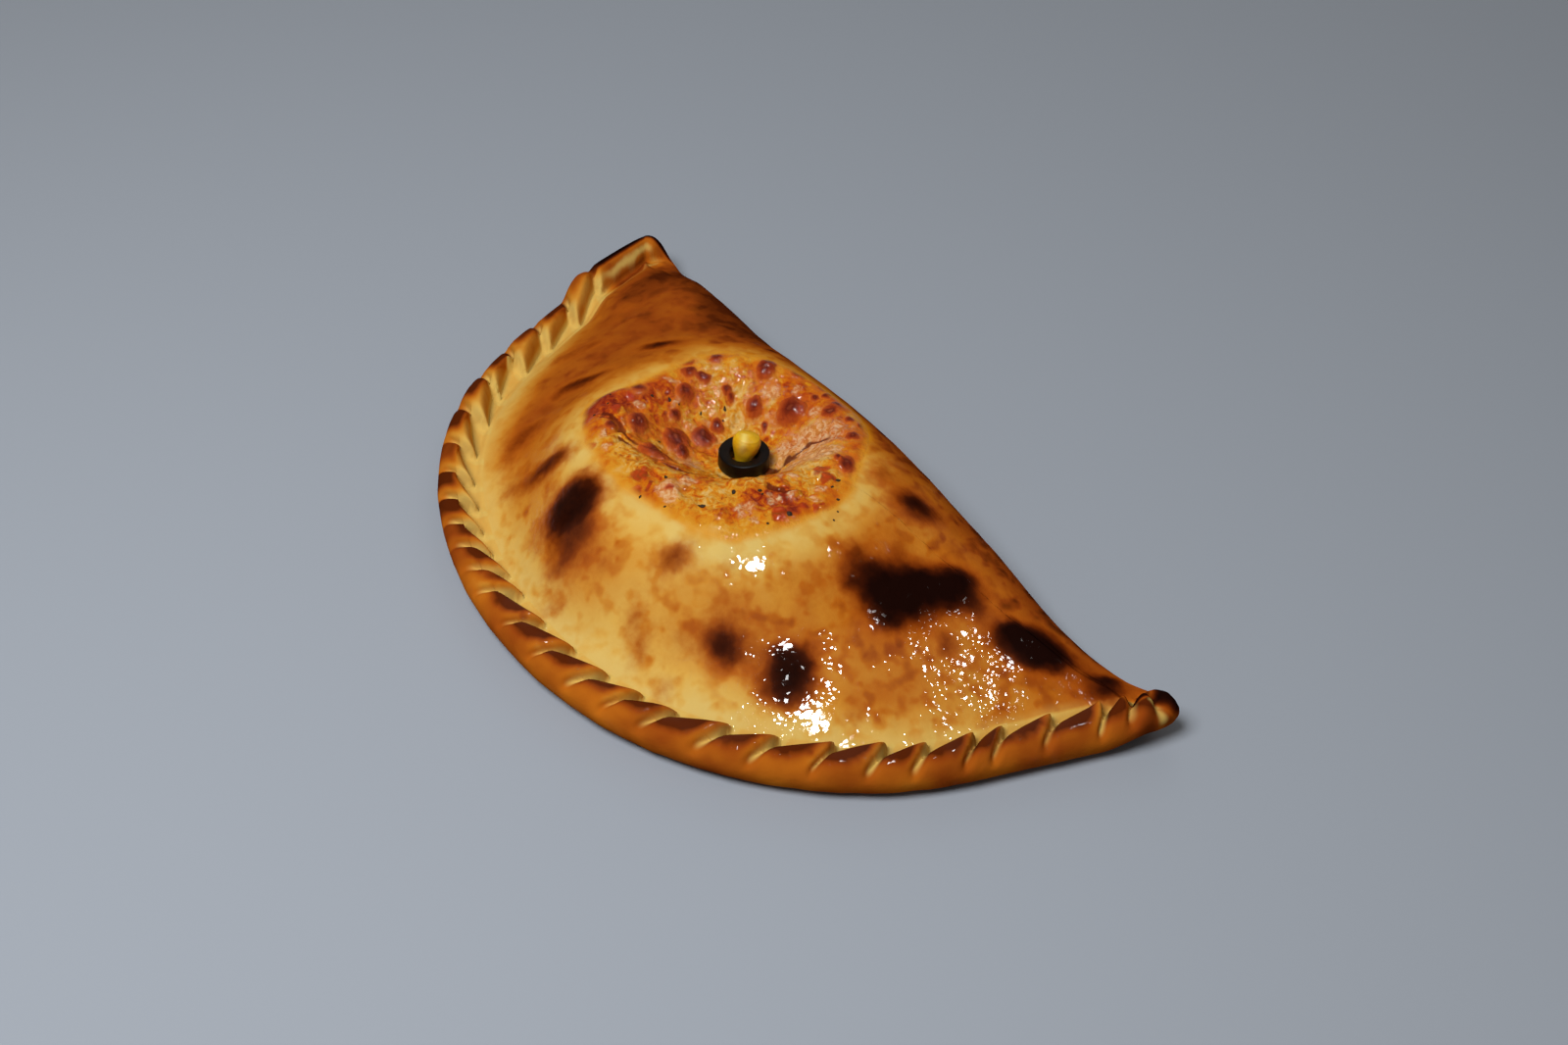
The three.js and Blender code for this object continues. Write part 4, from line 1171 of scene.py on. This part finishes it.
def crust_color(n):
    """The crust's colour from its marks, with soft mottling, freckles and scorches that fade to brown."""
    broad, middling, fine = n.noise(15, 2), n.noise(6, 1.5), n.noise(1.8, 2, 0.5)
    freckle = n.step(n.frayed(n.noise(4.2, 0.5, 0.3), broad, 0.3), 0.6, 0.8)
    mottle = n.frayed(n.times(n.step(middling, 0.44, 0.7), 0.18), fine, 0.05)
    mottle = n.plus(mottle, n.times(freckle, 0.14))
    # The tan mark also carries painted shade on the rope wall's lower half.
    tan = n.frayed(n.mark("tan"), broad, 0.28)
    color = n.ramp(n.math("MULTIPLY_ADD", mottle, n.mark("mottle"), tan, clamp=True), CRUST_TANS)
    color = n.tint(color, n.frayed(n.mark("cream"), middling, 0.3), 0.2, 1.0, 0.88, PALE_DOUGH)
    color = n.tint(color, n.frayed(n.mark("stain"), middling, 0.5), 0.2, 1.0, 0.75, SAUCE_STAIN)
    scorch = n.frayed(n.frayed(n.mark("scorch"), middling, 0.1), fine, 0.12)
    for stage in SCORCH_STAGES:
        color = n.tint(color, scorch, *stage)
    return color


def crust_material():
    """Matt crust under a coat of oil, which lies in small beads and is thin on scorches."""
    n = Nodes("crust")
    oil = n.step(n.frayed(n.mark("oil"), n.noise(7, 3), 1.0), 0.1, 1.1)
    oil = n.times(oil, n.less(1.0, n.times(n.mark("scorch"), 0.9)))
    bead = n.times(n.math("POWER", n.cells(2.0), 2), n.plus(0.3, n.step(n.noise(8, 2), 0.43, 0.72)))
    n.link(oil, n.shader.inputs["Coat Weight"])
    n.link(n.bump(bead, 0.18), n.shader.inputs["Coat Normal"])
    n.shader.inputs["Coat Roughness"].default_value = 0.05
    n.shader.inputs["Specular IOR Level"].default_value = 0.0
    normal = n.bump(n.noise(0.9, 3, 0.6), 0.06, n.bump(n.noise(2.6, 3, 0.5), 0.14))
    return n.finish(crust_color(n), n.frayed(0.5, n.noise(4.5, 3), 0.3), normal)


def cheese_color(n, broad, middling, fine):
    """Cheese and sauce, with curds, tomato, specks, creases and blisters over one another; painted shade on
    the far lip and left side comes with the red mark, and a painted highlight sits on the blisters' tops.
    """
    busy = n.frayed(n.frayed(0.0, middling, 1.5), fine, 0.7)
    # The red mark, which also carries painted shade on the far lip and left side, picks the sauce's colour.
    color = n.ramp(n.math("MULTIPLY_ADD", busy, n.mark("busy"), n.mark("red"), clamp=True), SAUCE_REDS)
    pale = n.frayed(n.frayed(n.mark("pale"), fine, 0.9), broad, 0.6)
    curds = n.ramp(n.frayed(fine, middling, 0.6), CURDS)
    color = n.mix(n.times(n.step(pale, 0.2, 1.1), 0.8), color, curds)
    tomato = n.step(n.frayed(n.mark("tomato"), fine, 0.6), 0.25, 0.9)
    color = n.mix(n.times(tomato, 0.85), color, n.ramp(middling, TOMATO_FLESH))
    specks = n.step(n.frayed(n.noise(2.0, 2, 0.5, 1.0), middling, 0.5), 0.64, 0.76)
    color = n.mix(n.times(n.times(specks, n.mark("busy")), 0.7), color, srgb(*SAUCE_SPECKS))
    color = n.tint(color, n.frayed(n.mark("crease"), fine, 0.9), 0.3, 0.8, 0.9, BROWNED_CREASE)
    blister = n.frayed(n.mark("blister"), fine, 0.25)
    color = n.tint(color, blister, -0.75, 0.0, 0.6, BLISTER_HALO)
    # Painted highlight: the domes turn lighter and pinker at their tops.
    domes_and_highlight = n.ramp(n.frayed(blister, middling, 0.6), BLISTER_DOMES_AND_HIGHLIGHT)
    return n.mix(n.step(blister, -0.06, 0.14), color, domes_and_highlight)


def cheese_material():
    """Greasy melted cheese, whose feathered edge turns to crust."""
    n = Nodes("melted_cheese_and_tomato")
    broad, middling = n.noise(9, 3, 0.55, 0.6), n.noise(3.8, 3, 0.5, 1.4)
    fine, tiny = n.noise(1.6, 2, 0.5, 0.8), n.noise(0.7, 2)
    color = n.mix(n.mark("feather"), cheese_color(n, broad, middling, fine), crust_color(n))
    n.link(n.times(n.less(1.0, n.mark("feather")), 0.5), n.shader.inputs["Coat Weight"])
    n.link(n.bump(n.noise(2.0, 1, 0.5), 0.5), n.shader.inputs["Coat Normal"])
    n.shader.inputs["Coat Roughness"].default_value = 0.07
    n.shader.inputs["Specular IOR Level"].default_value = 0.03
    return n.finish(color, n.frayed(0.4, fine, 0.3), n.bump(tiny, 0.07, n.bump(fine, 0.3)))


def herb_material():
    n = Nodes("dried_herb")
    color = n.ramp(n.noise(0.8), [(0.3, (30, 18, 10)), (0.8, (62, 44, 22))])
    return n.finish(color, 0.6, n.bump(n.noise(0.4), 0.05))


def olive_material():
    n = Nodes("black_olive")
    flesh = n.ramp(n.noise(2.5, 4), [(0.3, (9, 6, 5)), (0.8, (20, 14, 12))])
    skin = n.ramp(n.noise(1.8, 3), [(0.3, (4, 3, 2)), (0.8, (9, 6, 5))])
    color = n.mix(n.mark("cut"), skin, flesh)
    n.shader.inputs["Specular IOR Level"].default_value = 0.3
    return n.finish(color, n.frayed(0.42, n.noise(1.2), 0.2), n.bump(n.noise(0.9, 3), 0.05))


def corn_material():
    n = Nodes("sweetcorn")
    color = n.ramp(n.noise(3.0, 3), [(0.25, (200, 150, 12)), (0.75, (226, 178, 26))])
    color = n.mix(n.times(n.mark("streak"), 0.7), color, srgb(232, 212, 120))
    n.shader.inputs["Subsurface Weight"].default_value = 0.25
    n.shader.inputs["Subsurface Radius"].default_value = (0.003, 0.0018, 0.0006)
    n.shader.inputs["Subsurface Scale"].default_value = 1.0
    n.shader.inputs["Specular IOR Level"].default_value = 0.3
    n.shader.inputs["Coat Weight"].default_value = 0.3
    n.shader.inputs["Coat Roughness"].default_value = 0.12
    return n.finish(color, 0.35, n.bump(n.noise(1.2, 2), 0.04))


# ---- Stage ----

# The camera, in millimetres and degrees, as worked out from the round board in the photo.
CAMERA_PLACE = (408.11, -353.62, 463.77)
CAMERA_AHEAD = (-0.79168, 0.61094)  # the way the camera faces, in plan
CAMERA_PITCH = 42.0725
CAMERA_ROLL = 2.7067
CAMERA_LENS = 47.074
CAMERA_SENSOR = 36.0
FLOOR_HALF = 6.0
FLOOR_COLOR = (152, 159, 169)
# Lights: name, place, what they aim at, width in metres and power in watts. Glints show in gloss
# alone, and the soft lights in colour alone.
GLINTS = [("glint", (0.28, -0.2, 1.15), (0.02, -0.04, 0.02), 0.14, 4.6),
          ("far_glint", (0.42, 0.5, 1.2), (0.05, 0.0, 0.02), 0.09, 1.4)]
SOFT_LIGHTS = [("soft", (0.12, -0.5, 0.95), (0.0, -0.06, 0.02), 0.5, 11.4),
               ("back", (-0.8, 0.9, 0.8), (0.0, 0.0, 0.02), 0.8, 1.4)]
WORLD_COLOR, WORLD_STRENGTH = (1.0, 0.94, 0.86, 1.0), 0.15


def camera():
    pitch, roll = math.radians(CAMERA_PITCH), math.radians(CAMERA_ROLL)
    ax, ay = CAMERA_AHEAD
    forward = Vector((ax * math.cos(pitch), ay * math.cos(pitch), -math.sin(pitch)))
    right = Vector((-ay, ax, 0)) * -1
    down = forward.cross(right)
    image_right = math.cos(roll) * right - math.sin(roll) * down
    image_down = math.sin(roll) * right + math.cos(roll) * down
    data = bpy.data.cameras.new("camera")
    data.lens = CAMERA_LENS
    data.sensor_width = CAMERA_SENSOR
    made = bpy.data.objects.new("camera", data)
    turn = Matrix((image_right, -image_down, -forward)).transposed().to_4x4()
    made.matrix_world = Matrix.Translation(Vector(CAMERA_PLACE) * MM + Vector(SHIFT)) @ turn
    bpy.context.scene.collection.objects.link(made)
    bpy.context.scene.camera = made


def floor():
    a, b = -FLOOR_HALF, FLOOR_HALF
    mesh = bpy.data.meshes.new("floor")
    mesh.from_pydata([(a, a, 0), (b, a, 0), (b, b, 0), (a, b, 0)], [], [(0, 1, 2, 3)])
    mesh.materials.append(Nodes("floor").finish(srgb(*FLOOR_COLOR), 0.8, None))
    made = bpy.data.objects.new("floor", mesh)
    bpy.context.scene.collection.objects.link(made)


def light(name, place, aim, size, power):
    data = bpy.data.lights.new(name, "AREA")
    data.shape = "DISK"
    data.size = size
    data.energy = power
    made = bpy.data.objects.new(name, data)
    made.location = place
    made.rotation_euler = (Vector(aim) - Vector(place)).to_track_quat("-Z", "Y").to_euler()
    bpy.context.scene.collection.objects.link(made)
    return made


def studio():
    for row in GLINTS:
        light(*row).visible_diffuse = False
    for row in SOFT_LIGHTS:
        light(*row).visible_glossy = False
    world = bpy.data.worlds.new("world")
    world.use_nodes = True
    background = world.node_tree.nodes["Background"]
    background.inputs["Color"].default_value = WORLD_COLOR
    background.inputs["Strength"].default_value = WORLD_STRENGTH
    bpy.context.scene.world = world
    bpy.context.scene.view_settings.view_transform = "Standard"


camera()
dough()
topping()
herb_flakes()
olive()
kernel()
floor()
studio()
